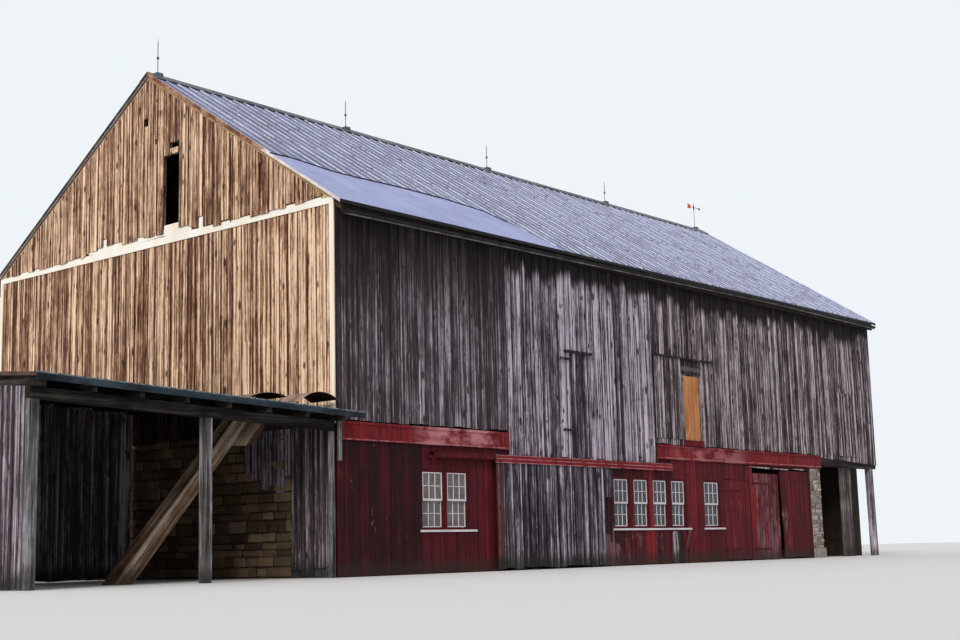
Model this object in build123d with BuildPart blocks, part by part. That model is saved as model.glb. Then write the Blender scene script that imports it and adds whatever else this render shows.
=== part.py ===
from build123d import *
import math
import os

# A timber bank barn on a stone lower storey, with an open lean-to shed on its west gable.
# Millimetres. +X runs along the front wall to the east, +Y goes from the front wall to the rear,
# +Z is up from the ground. The origin lies on the ground under the middle of the whole building.

# Main body
barn_length = 21800
barn_width = 11070
storey_height = 2780
wall_top = 6880
roof_pitch = 33
siding = 30

# Masonry of the lower storey
stone_thickness = 500
west_stone_start = 1200
east_stone_start = 600
pier_start = 17700
pier_width = 600
pier_depth = 900
pier_foot_height = 260
pier_foot_reach = 40

# Timber floor
girder_depth = 300
girder_width = 220
joist_depth = 220
joist_width = 100
joist_count = 19
floor_thickness = 40

# Timber frame of the loft
post_size = 220
bent_count = 5
tie_height = 6300
tie_depth = 240
purlin_size = 180
purlin_share = 0.27
brace_reach = 900
brace_size = 120
rafter_depth = 140
rafter_width = 80
rafter_count = 21
rafter_tail = 150
girt_width = 100
girt_depth = 120
girt_heights = [3900, 5100]
gable_girt_height = 6950

# Roof covering
eave_overhang = 250
gable_overhang = 120
roof_thickness = 60
seam_height = 26
seam_width = 24
seam_pitch = 610
cap_reach = 260
cap_thickness = 12
trim_thickness = 25
rake_depth = 180
fascia_depth = 200
gutter_radius = 70
gutter_wall = 4
gutter_west_end = 6592
gutter_crown = 6730
gutter_crown_place = 16000
gutter_east_end = 6668
gutter_joint = 20
smooth_sheet = 6
smooth_edge = [
    (-120, 1640),
    (450, 1680),
    (1400, 1430),
    (2300, 1470),
    (3300, 1530),
    (4700, 1490),
    (5850, 1250),
    (6700, -250),
]

# Front wall of the lower storey
front_wall_thickness = 120
door_head = 2130
head_height = storey_height - girder_depth
band_depth = 340
band_reach = 60
band_cap = 50
band_relief = 20
band_bevel = 12
band_foot_drop = 20
left_band_end = 4500
right_band_start = 10300
right_band_end = 18300
long_siding_start = 4800
long_siding_end = 10200
long_siding_bottom = 2300
bay_siding_drop = 180
bay_step = 60

# Windows
window_sill = 820
window_head = 1960
pair_starts = [2190, 2890]
pair_width = 650
group_starts = [8460, 9240, 10020, 10800]
group_width = 620
single_start = 12240
single_width = 720
rear_starts = [4200, 10575, 16950]
sash_inset = 8
casing_width = 28
casing_depth = 80
sash_width = 42
sash_depth = 32
dropped_sash = 10800
dropped_tilt = 2.5
glass_thickness = 4
sill_reach = 50
sill_thickness = 40

# Sliding doors
grey_start = 4300
grey_leaf = 2000
grey_seam_gap = 10
grey_bottom = 20
grey_board = 25
grey_stand_off = 90
ledge_thickness = 28
ledge_height = 130
ledge_inset = 60
ledge_from_end = 180
brace_board = 100
brace_inset = 160
broken_foot_start = 7970
broken_foot_top = 1500
doorway_east_cover = 350
rail_height = 2178
rail_depth = 40
rail_thickness = 8
rail_gap = 13
wheel_radius = 28
wheel_width = 16
hanger_width = 60
hanger_thickness = 8
hanger_inset = 320
hanger_length = 320
axle_radius = 10
bracket_count = 8
bracket_inset = 10
rail_start = 2350
cover_start = 4250
cover_end = 10700
cover_bottom = 2140
cover_reach = 150
cover_board = 20

# Swinging doors
stable_start = 13200
stable_width = 1250
stable_height = 1990
red_start = 14600
red_end = 17600
red_seam_start = 15930
red_seam_end = 16030
red_seam_spread = 130
red_left_height = 2190
red_right_height = 2290
red_head = 2330
leaf_board = 25
leaf_gap = 8
strap_width = 50
strap_thickness = 6
pin_radius = 7
eye_radius = 13
pin_clearance = 0.6
pin_inset = 24
pin_stand_off = 14
pin_arm = 16
pin_tip = 12
hinge_from_end = 260
hinge_share = 0.6

# Upper front wall
plywood_start = 11510
plywood_width = 670
plywood_bottom = 2900
plywood_height = 1550
plywood_thickness = 18
hood_start = 10210
hood_end = 12740
hood_height = 4840
hood_reach = 80
panel_width = 1190
hatch_start = 6950
hatch_width = 700
hatch_top = 4600
east_door_start = 19450
east_door_width = 1190
east_door_top = 4580
overlay = 22
ledge_board = 40
lintel_reach = 100
lintel_gap = 40
sill_block_reach = 60
sill_block_height = 135
hatch_ledge_reach = 200
hatch_ledge_board = 50
small_ledge_drop = 160
small_ledge_reach = 450
low_ledge_reach = 300

# Gables
slit_start = 4480
slit_width = 500
slit_bottom = 7150
slit_height = 1500
band_bottom = 6765
gable_band_rise = 40
corner_width = 110
gable_lap = 60

# Open bay
bay_post_size = 170
bay_post_inset = 210
bay_post_lean = 50
bay_panel_start = 19940
bay_panel_width = 660
bay_panel_thickness = 45
bay_panel_lap = 200
lower_post_places = [4200, 8400, 12600, 16800]

# Lean-to shed
shed_length = 6200
shed_depth = 6000
shed_side_overhang = 100
shed_front_overhang = 290
shed_high_corner = 3130
shed_low_corner = 2930
shed_rise = 0.0963
shed_roof_thickness = 60
shed_rafter_depth = 140
shed_rafter_width = 80
shed_rafter_count = 8
shed_beam_depth = 190
shed_beam_width = 150
shed_board = 60
shed_post = 150
middle_post_start = 2970
slim_post = 85
corner_strip_start = -50
corner_strip_width = 90
corner_strip_foot = 2050
corner_strip_top = 2885
shed_fascia_depth = 110
shed_fascia_nose = 400
chute_width = 350
chute_side = 270
chute_board = 30
chute_slope = 48.5
chute_setback = 1300
chute_head = 1310
chute_head_height = 2370
mouth_floor = 370
mouth_belly = 690
mouth_belly_height = 2560
mouth_lip = 540
mouth_lip_height = 2870
sheet_metal = 6

# Lightning rods and weather vane
rod_places = [160, 5720, 11020, 16480]
rod_heights = [810, 730, 690, 660]
rod_radius = 9
rod_ball = 34
vane_place = 21480
vane_height = 860
vane_arrow = 800
vane_radius = 8
vane_seat = 620
vane_collar = 20
vane_sleeve = 120
vane_plate = 6
vane_head = 110
vane_tail = 240
vane_half_height = 70
rod_tip = 120
vane_tip = 60
ball_share = 0.45
ball_flat = 0.85
ball_taper = 28
rod_sides = 8
point_share = 0.8
saddle_length = 160
saddle_reach = 90

seat = 0.3
slack = 5

# Places worked out from the sizes above
slope = math.tan(math.radians(roof_pitch))
west_reach = shed_length + shed_side_overhang
west_face = (west_reach - barn_length - gable_overhang) / 2
front_face = -barn_width / 2
half_width = barn_width / 2
rafter_drop = rafter_depth / math.cos(math.radians(roof_pitch))
floor_top = storey_height + joist_depth + floor_thickness
siding_top = wall_top - rafter_drop - siding * slope
ridge_under = wall_top + half_width * slope
cap_top = ridge_under + roof_thickness + seam_height + cap_thickness
band_top_west = storey_height - 10
band_bottom_west = band_top_west - band_depth


def along(distance):
    """X of a place measured from the west gable along the front wall."""
    return west_face + distance


def deep(distance):
    """Y of a place measured from the front wall's face towards the rear."""
    return front_face + distance


def block(x_span, y_span, z_span, mode=Mode.ADD):
    """Add or cut a squared block between two corners in the piece being made."""
    middle = tuple((low + high) / 2 for low, high in (x_span, y_span, z_span))
    with Locations(middle):
        Box(x_span[1] - x_span[0], y_span[1] - y_span[0], z_span[1] - z_span[0], mode=mode)


def front_block(from_west, y_span, z_span, mode=Mode.ADD):
    """A block on the front wall, its X span measured from the west gable."""
    x_span = (along(from_west[0]), along(from_west[1]))
    block(x_span, (deep(y_span[0]), deep(y_span[1])), z_span, mode)


def cross_profile(points, x_from, x_to, mode=Mode.ADD):
    """Run a cross-section, given as (depth from the front, height), along the barn."""
    with BuildSketch(Plane.YZ.offset(along(x_from))) as outline:
        with BuildLine():
            Polyline([(deep(d), z) for d, z in points], close=True)
        make_face()
    extrude(outline.sketch, amount=x_to - x_from, mode=mode)


def mirrored(points):
    """The same cross-section on the rear half of the barn."""
    return [(barn_width - d, z) for d, z in points]


def under_roof(d):
    """Height of the front roof's underside at a depth from the front wall."""
    return wall_top + d * slope


def shed_height(from_west, d):
    """Height of the shed roof's top at a place, from_west being negative outside the gable."""
    fall = (shed_high_corner - shed_low_corner) / shed_length
    return shed_low_corner - from_west * fall + (d + shed_front_overhang) * shed_rise


def shed_plane(drop):
    """The plane of the shed roof's top, lowered by a drop."""
    fall = (shed_high_corner - shed_low_corner) / shed_length
    corner = (along(0), deep(-shed_front_overhang), shed_low_corner - drop)
    return Plane(origin=corner, z_dir=(fall, -shed_rise, 1))


def finish(builder, name):
    """Name a finished piece and write it."""
    builder.part.label = name
    export_step(builder.part, f"parts/{name}.step")


os.makedirs("parts", exist_ok=True)


# Stone walls of the lower storey
with BuildPart() as west_stone_wall:
    front_block((0, stone_thickness), (west_stone_start, barn_width - stone_thickness), (0, storey_height))
finish(west_stone_wall, "west_stone_wall")

with BuildPart() as rear_stone_wall:
    front_block((0, barn_length), (barn_width - stone_thickness, barn_width), (0, storey_height))
    for start in rear_starts:
        front_block(
            (start, start + pair_width),
            (barn_width - stone_thickness, barn_width),
            (window_sill, window_head),
            Mode.SUBTRACT,
        )
finish(rear_stone_wall, "rear_stone_wall")

with BuildPart() as east_stone_wall:
    front_block(
        (barn_length - stone_thickness, barn_length),
        (east_stone_start, barn_width - stone_thickness),
        (0, storey_height),
    )
finish(east_stone_wall, "east_stone_wall")

with BuildPart() as stone_pier:
    front_block((pier_start, pier_start + pier_width), (0, pier_depth), (0, head_height))
    front_block(
        (pier_start, pier_start + pier_width + pier_foot_reach),
        (-pier_foot_reach, pier_depth + pier_foot_reach),
        (0, pier_foot_height),
    )
    upper_edges = stone_pier.edges().filter_by(Axis.Z).group_by(SortBy.LENGTH)[-1]
    chamfer(upper_edges, length=25)
finish(stone_pier, "stone_pier")


# Windows, each as its start from the west gable, its width and the face it stands in
front_windows = [(start, pair_width) for start in pair_starts]
front_windows += [(start, group_width) for start in group_starts]
front_windows += [(single_start, single_width)]
window_middle = (window_sill + window_head) / 2


def sash_places(start, width, face, inward):
    """Middle, tilt and size of a window's upper sash and, set behind it, of its lower one."""
    sash_span = width - 2 * casing_width
    upper_z = (window_middle - sash_width / 2, window_head - casing_width)
    lower_z = (window_sill + casing_width, window_middle + sash_width / 2)
    places = []
    for number, (low, high) in enumerate((upper_z, lower_z)):
        depth = sash_inset + slack + (number + 0.5) * sash_depth
        middle = (along(start + width / 2), deep(face + inward * depth), (low + high) / 2)
        tilt = dropped_tilt if number == 1 and start == dropped_sash else 0
        places.append((Location(middle, (0, tilt, 0)), sash_span, high - low))
    return places


def window_frame(start, width, face, inward):
    """Casing with an upper sash set forward and a lower sash behind it."""
    casing_y = tuple(sorted((face + inward * sash_inset, face + inward * (sash_inset + casing_depth))))
    clear_z = (window_sill + casing_width, window_head - casing_width)
    front_block((start, start + width), casing_y, (window_sill, window_head))
    front_block((start + casing_width, start + width - casing_width), casing_y, clear_z, Mode.SUBTRACT)
    for place, across, tall in sash_places(start, width, face, inward):
        with Locations(place):
            Box(across, sash_depth, tall)
            Box(across - 2 * sash_width, sash_depth, tall - 2 * sash_width, mode=Mode.SUBTRACT)


def window_panes(start, width, face, inward):
    """One pane for each sash, filling the sash's opening."""
    for place, across, tall in sash_places(start, width, face, inward):
        with Locations(place):
            Box(across - 2 * sash_width, glass_thickness, tall - 2 * sash_width)


with BuildPart() as window_sashes:
    for start, width in front_windows:
        window_frame(start, width, 0, 1)
    for start in rear_starts:
        window_frame(start, pair_width, barn_width, -1)
finish(window_sashes, "window_sashes")

with BuildPart() as window_glass:
    for start, width in front_windows:
        window_panes(start, width, 0, 1)
    for start in rear_starts:
        window_panes(start, pair_width, barn_width, -1)
finish(window_glass, "window_glass")

with BuildPart() as window_sills:
    sill_z = (window_sill - sill_thickness, window_sill)
    sill_spans = [
        (pair_starts[0] - sill_reach, pair_starts[-1] + pair_width + 4 * sill_reach),
        (group_starts[0] - sill_reach, group_starts[-1] + group_width + 3 * sill_reach),
        (single_start - sill_reach, single_start + single_width + 3 * sill_reach),
    ]
    for x_span in sill_spans:
        front_block(x_span, (-sill_reach, 0), sill_z)
    for start in rear_starts:
        front_block(
            (start - sill_reach, start + pair_width + sill_reach),
            (barn_width, barn_width + sill_reach),
            sill_z,
        )
    outer_edges = window_sills.edges().filter_by(Axis.X).filter_by_position(
        Axis.Z, window_sill - 1, window_sill + 1
    )
    front_rims = outer_edges.filter_by_position(Axis.Y, deep(-sill_reach) - 1, deep(-sill_reach) + 1)
    chamfer(front_rims, length=8)
finish(window_sills, "window_sills")


# Board walls of the lower front
left_opening = grey_start + 150
right_opening = grey_start + 2 * grey_leaf - doorway_east_cover
wall_y = (0, front_wall_thickness)

with BuildPart() as front_wall_left:
    front_block((0, left_opening), wall_y, (0, head_height))
    for start in pair_starts:
        front_block((start, start + pair_width), wall_y, (window_sill, window_head), Mode.SUBTRACT)
finish(front_wall_left, "front_wall_left")

with BuildPart() as front_wall_middle:
    front_block((right_opening, stable_start), wall_y, (0, head_height))
    for start in group_starts:
        front_block((start, start + group_width), wall_y, (window_sill, window_head), Mode.SUBTRACT)
    single_x = (single_start, single_start + single_width)
    front_block(single_x, wall_y, (window_sill, window_head), Mode.SUBTRACT)
finish(front_wall_middle, "front_wall_middle")

stable_end = stable_start + stable_width
with BuildPart() as door_posts:
    front_block((stable_end, red_start), wall_y, (0, head_height))
    front_block((red_end, pier_start), wall_y, (0, head_height))
finish(door_posts, "door_posts")

with BuildPart() as door_heads:
    front_block((left_opening, right_opening), wall_y, (door_head, head_height))
    front_block((stable_start, stable_end), wall_y, (stable_height + leaf_gap, head_height))
    front_block((red_start, red_end), wall_y, (red_head, head_height))
finish(door_heads, "door_heads")

with BuildPart() as west_wall_boards:
    side = (0, siding * 3)
    front_block(side, (front_wall_thickness, west_stone_start), (0, head_height))
    front_block(side, (girder_width, west_stone_start), (head_height, storey_height))
finish(west_wall_boards, "west_wall_boards")


# Red bands above the doors: a face board with a projecting cap and a foot bead
def band_profile(top, bottom):
    """Cross-section of a band: cap, set-back face and foot bead."""
    face = band_reach - band_relief
    return [
        (0, bottom),
        (-band_reach, bottom),
        (-band_reach, bottom + band_cap),
        (-face, bottom + band_cap + band_bevel),
        (-face, top - band_cap),
        (-band_reach, top - band_cap),
        (-band_reach, top - band_bevel),
        (-band_reach + band_bevel, top),
        (0, top),
    ]


cover_top = long_siding_bottom
cover_outline = [
    (0, cover_top),
    (-cover_reach, cover_top),
    (-cover_reach, cover_bottom),
    (-cover_reach + cover_board, cover_bottom),
    (-cover_reach + cover_board, cover_top - cover_board),
    (0, cover_top - cover_board),
]
east_band_top = storey_height - 30
with BuildPart() as red_trim:
    cross_profile(band_profile(band_top_west, band_bottom_west), 0, left_band_end)
    block_z = (band_bottom_west - band_foot_drop, band_top_west)
    front_block((left_band_end, long_siding_start - slack), (-band_reach, 0), block_z)
    east_band = band_profile(east_band_top, east_band_top - band_depth)
    cross_profile(east_band, right_band_start, right_band_end)
    cross_profile(cover_outline, cover_start, cover_end)
finish(red_trim, "red_trim")


# Timber floor over the lower storey
middle_span = (half_width - girder_width / 2, half_width + girder_width / 2)
girder_z = (head_height, storey_height)
joist_run = (barn_length - joist_width) / (joist_count - 1)
with BuildPart() as loft_joists:
    for number in range(joist_count):
        start = number * joist_run
        joist_z = (storey_height, storey_height + joist_depth)
        front_block((start, start + joist_width), (0, barn_width), joist_z)
finish(loft_joists, "loft_joists")

with BuildPart() as loft_floor:
    front_block((0, barn_length), (0, barn_width), (storey_height + joist_depth, floor_top))
finish(loft_floor, "loft_floor")


# Timber frame: five bents of four posts, each under a tie beam, with braces in the corners
bent_run = (barn_length - post_size) / (bent_count - 1)
bent_starts = [number * bent_run for number in range(bent_count)]
purlin_line = barn_width * purlin_share
inner_lines = [purlin_line, barn_width - purlin_line]
post_lines = [post_size / 2, inner_lines[0], inner_lines[1], barn_width - post_size / 2]
tie_top = tie_height + tie_depth


def purlin_foot(line):
    """Height of a purlin's underside."""
    near = min(line, barn_width - line) - purlin_size / 2
    return under_roof(near) - rafter_drop - purlin_size


leaning_post_x = barn_length - bay_post_inset - bay_post_size / 2
with BuildPart() as frame_posts:
    for start in bent_starts:
        for line in post_lines:
            line_y = (line - post_size / 2, line + post_size / 2)
            front_block((start, start + post_size), line_y, (floor_top, tie_height))
        for line in inner_lines:
            line_y = (line - purlin_size / 2, line + purlin_size / 2)
            front_block((start, start + post_size), line_y, (tie_top, purlin_foot(line)))
    for place in lower_post_places:
        front_block((place, place + post_size), middle_span, (0, head_height))
    for height, place in ((0, leaning_post_x + bay_post_lean), (head_height, leaning_post_x)):
        with BuildSketch(Plane.XY.offset(height)):
            with Locations((along(place), deep(bay_post_size / 2))):
                Rectangle(bay_post_size, bay_post_size)
    loft()
finish(frame_posts, "frame_posts")

# A panel of upright boards in the open bay, nailed to the back of the beam
panel_x = (bay_panel_start, bay_panel_start + bay_panel_width)
with BuildPart() as bay_panel:
    panel_y = (girder_width, girder_width + bay_panel_thickness)
    front_block(panel_x, panel_y, (0, head_height + bay_panel_lap))
finish(bay_panel, "bay_panel")

with BuildPart() as tie_beams:
    for start in bent_starts:
        front_block((start, start + post_size), (0, barn_width), (tie_height, tie_top))
finish(tie_beams, "tie_beams")


def brace_outline(post_face, way):
    """A brace from a post's face up to the tie beam, its ends cut to sit flat on both."""
    thick = brace_size * math.sqrt(2)
    return [
        (post_face, tie_height - brace_reach),
        (post_face + way * brace_reach, tie_height),
        (post_face + way * (brace_reach - thick), tie_height),
        (post_face, tie_height - brace_reach + thick),
    ]


with BuildPart() as wind_braces:
    half_post = post_size / 2
    for start in bent_starts:
        brace_from = start + half_post - brace_size / 2
        for line, way in ((post_size / 2, 1), (inner_lines[0], 1), (inner_lines[0], -1)):
            outline = brace_outline(line + way * half_post, way)
            cross_profile(outline, brace_from, brace_from + brace_size)
            cross_profile(mirrored(outline), brace_from, brace_from + brace_size)
finish(wind_braces, "wind_braces")

plate_outline = [
    (0, tie_top),
    (post_size, tie_top),
    (post_size, under_roof(post_size) - rafter_drop),
    (0, under_roof(0) - rafter_drop),
]
purlin_near = purlin_line - purlin_size / 2
purlin_far = purlin_line + purlin_size / 2
purlin_outline = [
    (purlin_near, purlin_foot(purlin_line)),
    (purlin_far, purlin_foot(purlin_line)),
    (purlin_far, under_roof(purlin_far) - rafter_drop),
    (purlin_near, under_roof(purlin_near) - rafter_drop),
]
with BuildPart() as long_timbers:
    front_block((0, barn_length), (0, girder_width), girder_z)
    front_block((stone_thickness, barn_length - stone_thickness), middle_span, girder_z)
    for outline in (plate_outline, purlin_outline):
        cross_profile(outline, 0, barn_length)
        cross_profile(mirrored(outline), 0, barn_length)
finish(long_timbers, "long_timbers")

# Girts between the posts, which carry the board siding
with BuildPart() as girts:
    for height in girt_heights:
        girt_z = (height, height + girt_depth)
        for start, following in zip(bent_starts, bent_starts[1:]):
            front_block((start + post_size, following), (0, girt_width), girt_z)
            front_block((start + post_size, following), (barn_width - girt_width, barn_width), girt_z)
        for near, far in zip(post_lines, post_lines[1:]):
            gable_y = (near + post_size / 2, far - post_size / 2)
            front_block((0, girt_width), gable_y, girt_z)
            front_block((barn_length - girt_width, barn_length), gable_y, girt_z)
    attic_y = (inner_lines[0] + purlin_size / 2, inner_lines[1] - purlin_size / 2)
    attic_z = (gable_girt_height, gable_girt_height + girt_depth)
    front_block((0, girt_width), attic_y, attic_z)
    front_block((barn_length - girt_width, barn_length), attic_y, attic_z)
finish(girts, "girts")

rafter_outline = [
    (-rafter_tail, under_roof(-rafter_tail)),
    (half_width, ridge_under),
    (half_width, ridge_under - rafter_drop),
    (-rafter_tail, under_roof(-rafter_tail) - rafter_drop),
]
rafter_run = (barn_length - rafter_width) / (rafter_count - 1)
with BuildPart() as front_rafters:
    for number in range(rafter_count):
        cross_profile(rafter_outline, number * rafter_run, number * rafter_run + rafter_width)
finish(front_rafters, "front_rafters")

with BuildPart() as rear_rafters:
    for number in range(rafter_count):
        cross_profile(mirrored(rafter_outline), number * rafter_run, number * rafter_run + rafter_width)
finish(rear_rafters, "rear_rafters")

# Board siding of the upper storey
siding_y = (-siding, 0)
bay_siding_top = east_band_top - bay_step
siding_outline = [
    (0, storey_height),
    (long_siding_start, storey_height),
    (long_siding_start, long_siding_bottom),
    (long_siding_end, long_siding_bottom),
    (long_siding_end, east_band_top),
    (right_band_end, east_band_top),
    (right_band_end, bay_siding_top),
    (barn_length, east_band_top - bay_siding_drop),
    (barn_length, siding_top),
    (0, siding_top),
]
with BuildPart() as front_siding:
    with BuildSketch(Plane.XZ.offset(-deep(0))):
        with BuildLine():
            Polyline([(along(distance), z) for distance, z in siding_outline], close=True)
        make_face()
    extrude(amount=siding)
    front_block(
        (plywood_start, plywood_start + plywood_width),
        siding_y,
        (plywood_bottom, plywood_bottom + plywood_height),
        Mode.SUBTRACT,
    )
finish(front_siding, "front_siding")

with BuildPart() as rear_siding:
    rear_y = (barn_width, barn_width + siding)
    front_block((0, barn_length), rear_y, (storey_height - gable_lap, siding_top))
finish(rear_siding, "rear_siding")


# Gables, the same at both ends
gable_outline = [
    (0, storey_height - gable_lap),
    (barn_width, storey_height - gable_lap),
    (barn_width, wall_top),
    (half_width, ridge_under),
    (0, wall_top),
]
slit_y = (slit_start, slit_start + slit_width)
slit_z = (slit_bottom, slit_bottom + slit_height)

with BuildPart() as west_gable:
    cross_profile(gable_outline, -siding, 0)
    front_block((-siding, 0), slit_y, slit_z, Mode.SUBTRACT)
finish(west_gable, "west_gable")

with BuildPart() as east_gable:
    cross_profile(gable_outline, barn_length, barn_length + siding)
    front_block((barn_length, barn_length + siding), slit_y, slit_z, Mode.SUBTRACT)
finish(east_gable, "east_gable")

trim_west = (-siding - trim_thickness, -siding)
trim_east = (barn_length + siding, barn_length + siding + trim_thickness)
band_corner = rake_depth / slope
band_end = (rake_depth + gable_band_rise) / slope
gable_band = [
    (0, band_bottom),
    (barn_width, band_bottom),
    (barn_width, wall_top),
    (barn_width - band_corner, wall_top),
    (barn_width - band_end, wall_top + gable_band_rise),
    (band_end, wall_top + gable_band_rise),
    (band_corner, wall_top),
    (0, wall_top),
]
with BuildPart() as gable_bands:
    for x_span in (trim_west, trim_east):
        cross_profile(gable_band, x_span[0], x_span[1])
finish(gable_bands, "gable_bands")

rake_outline = [
    (0, wall_top),
    (half_width, ridge_under),
    (barn_width, wall_top),
    (barn_width - rake_depth / slope, wall_top),
    (half_width, ridge_under - rake_depth),
    (rake_depth / slope, wall_top),
]


# Roof: sheets with raised seams, a ridge cap, eave boards and gutters
def roof_layer(bottom, top, low_end, high_end):
    """Cross-section of a layer of the front roof between two heights above its underside."""
    return [
        (low_end, under_roof(low_end) + bottom),
        (high_end, under_roof(high_end) + bottom),
        (high_end, under_roof(high_end) + top),
        (low_end, under_roof(low_end) + top),
    ]


roof_start = -gable_overhang
roof_end = barn_length + gable_overhang
seam_count = int((roof_end - roof_start - seam_width) / seam_pitch) + 1
sheet_outline = roof_layer(0, roof_thickness, -eave_overhang, half_width)
seam_outline = roof_layer(roof_thickness, roof_thickness + seam_height, -eave_overhang, half_width)


def smooth_foot(from_west):
    """Depth of the smooth sheets' upper edge at a place along the roof, or of the eave past them."""
    for (low, low_depth), (high, high_depth) in zip(smooth_edge, smooth_edge[1:]):
        if low <= from_west <= high:
            return low_depth + (high_depth - low_depth) * (from_west - low) / (high - low)
    return -eave_overhang


with BuildPart() as roof_front:
    cross_profile(sheet_outline, roof_start, roof_end)
    for number in range(seam_count):
        seam_from = roof_start + number * seam_pitch
        foot = max(smooth_foot(seam_from), smooth_foot(seam_from + seam_width))
        outline = roof_layer(roof_thickness, roof_thickness + seam_height, foot, half_width)
        cross_profile(outline, seam_from, seam_from + seam_width)
finish(roof_front, "roof_front")

with BuildPart() as smooth_roof_sheets:
    with BuildSketch():
        with BuildLine():
            plan = [(along(from_west), deep(d)) for from_west, d in smooth_edge]
            Polyline([(along(roof_start), deep(-eave_overhang)), *plan], close=True)
        make_face()
    extrude(amount=cap_top)
    smooth_layer = roof_layer(roof_thickness, roof_thickness + smooth_sheet, -eave_overhang, half_width)
    cross_profile(smooth_layer, roof_start, roof_end, Mode.INTERSECT)
finish(smooth_roof_sheets, "smooth_roof_sheets")

with BuildPart() as roof_rear:
    cross_profile(mirrored(sheet_outline), roof_start, roof_end)
    for number in range(seam_count):
        seam_from = roof_start + number * seam_pitch
        cross_profile(mirrored(seam_outline), seam_from, seam_from + seam_width)
finish(roof_rear, "roof_rear")

cap_foot = roof_thickness + seam_height
cap_outline = [
    (half_width - cap_reach, under_roof(half_width - cap_reach) + cap_foot),
    (half_width, ridge_under + cap_foot),
    (half_width + cap_reach, under_roof(half_width - cap_reach) + cap_foot),
    (half_width + cap_reach, under_roof(half_width - cap_reach) + cap_foot + cap_thickness),
    (half_width, cap_top),
    (half_width - cap_reach, under_roof(half_width - cap_reach) + cap_foot + cap_thickness),
]
with BuildPart() as ridge_cap:
    cross_profile(cap_outline, roof_start, roof_end)
finish(ridge_cap, "ridge_cap")

fascia_outer = -rafter_tail - trim_thickness
fascia_top = under_roof(fascia_outer)
fascia_outline = [
    (-rafter_tail, fascia_top),
    (fascia_outer, fascia_top),
    (fascia_outer, fascia_top - fascia_depth),
    (-rafter_tail, fascia_top - fascia_depth),
]
with BuildPart() as edge_boards:
    for x_span in (trim_west, trim_east):
        for y_span in ((0, corner_width), (barn_width - corner_width, barn_width)):
            front_block(x_span, y_span, (storey_height - gable_lap, band_bottom))
        cross_profile(rake_outline, x_span[0], x_span[1])
    cross_profile(fascia_outline, 0, barn_length)
    cross_profile(mirrored(fascia_outline), 0, barn_length)
finish(edge_boards, "edge_boards")

gutter_line = fascia_outer - gutter_radius
gutter_points = [(0, gutter_west_end), (gutter_crown_place, gutter_crown), (barn_length, gutter_east_end)]


def gutter_length(line, start, end):
    """One half-round length of gutter between two (place, height) points of its middle."""
    run_way = Vector(end[0] - start[0], 0, end[1] - start[1])
    start_point = (along(start[0]), deep(line), start[1])
    with BuildSketch(Plane(origin=start_point, x_dir=(0, 1, 0), z_dir=run_way)) as outline:
        Circle(gutter_radius)
        Circle(gutter_radius - gutter_wall, mode=Mode.SUBTRACT)
        with Locations((0, gutter_radius)):
            Rectangle(2 * gutter_radius + slack, 2 * gutter_radius, mode=Mode.SUBTRACT)
    extrude(outline.sketch, amount=run_way.length - gutter_joint)


with BuildPart() as gutters:
    for line in (gutter_line, barn_width - gutter_line):
        for start, end in zip(gutter_points, gutter_points[1:]):
            gutter_length(line, start, end)
finish(gutters, "gutters")


# Pieces on the upper front wall
face_y = (-siding - overlay, -siding)
with BuildPart() as plywood_door:
    door_y = (-siding, -siding + plywood_thickness)
    front_block(
        (plywood_start + seat, plywood_start + plywood_width - seat),
        door_y,
        (plywood_bottom, plywood_bottom + plywood_height - seat),
    )
finish(plywood_door, "plywood_door")

ledge_y = (-siding - hood_reach, -siding)
plywood_end = plywood_start + plywood_width
plywood_top = plywood_bottom + plywood_height
small_ledge_z = hatch_top - small_ledge_drop
with BuildPart() as front_ledges:
    front_block((hood_start, hood_end), ledge_y, (hood_height, hood_height + ledge_board))
    front_block(
        (plywood_start - lintel_reach, plywood_end + lintel_reach),
        face_y,
        (plywood_top + lintel_gap, hood_height - slack),
    )
    front_block(
        (plywood_start - sill_block_reach, plywood_end + sill_block_reach),
        (-siding - band_reach, -siding),
        (plywood_bottom - slack - sill_block_height, plywood_bottom - slack),
    )
    front_block(
        (hatch_start - hatch_ledge_reach, hatch_start + hatch_width + sill_block_reach),
        ledge_y,
        (hatch_top, hatch_top + hatch_ledge_board),
    )
    front_block(
        (hatch_start - small_ledge_reach, hatch_start - slack),
        ledge_y,
        (small_ledge_z, small_ledge_z + ledge_board),
    )
    front_block(
        (hatch_start - low_ledge_reach, hatch_start - slack),
        ledge_y,
        (plywood_bottom, plywood_bottom + ledge_board),
    )
finish(front_ledges, "front_ledges")

with BuildPart() as board_shutters:
    front_block((hood_start, hood_start + panel_width), face_y, (plywood_bottom, hood_height))
    hatch_z = (long_siding_bottom + ledge_board, hatch_top)
    front_block((hatch_start, hatch_start + hatch_width), face_y, hatch_z)
    east_door_x = (east_door_start, east_door_start + east_door_width)
    front_block(east_door_x, face_y, (storey_height, east_door_top))
finish(board_shutters, "board_shutters")


# Sliding door track and its cover boards
rail_y = (-grey_stand_off - rail_thickness / 2, -grey_stand_off + rail_thickness / 2)
rail_top = rail_height + rail_depth
with BuildPart() as door_track:
    front_block((rail_start, cover_end), rail_y, (rail_height, rail_top))
    bracket_run = (cover_end - rail_start - hanger_width) / (bracket_count - 1)
    bracket_z = (rail_height + bracket_inset, rail_top - bracket_inset)
    for number in range(bracket_count):
        start = rail_start + number * bracket_run
        front_block((start, start + hanger_width), (rail_y[1], 0), bracket_z)
finish(door_track, "door_track")


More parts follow.
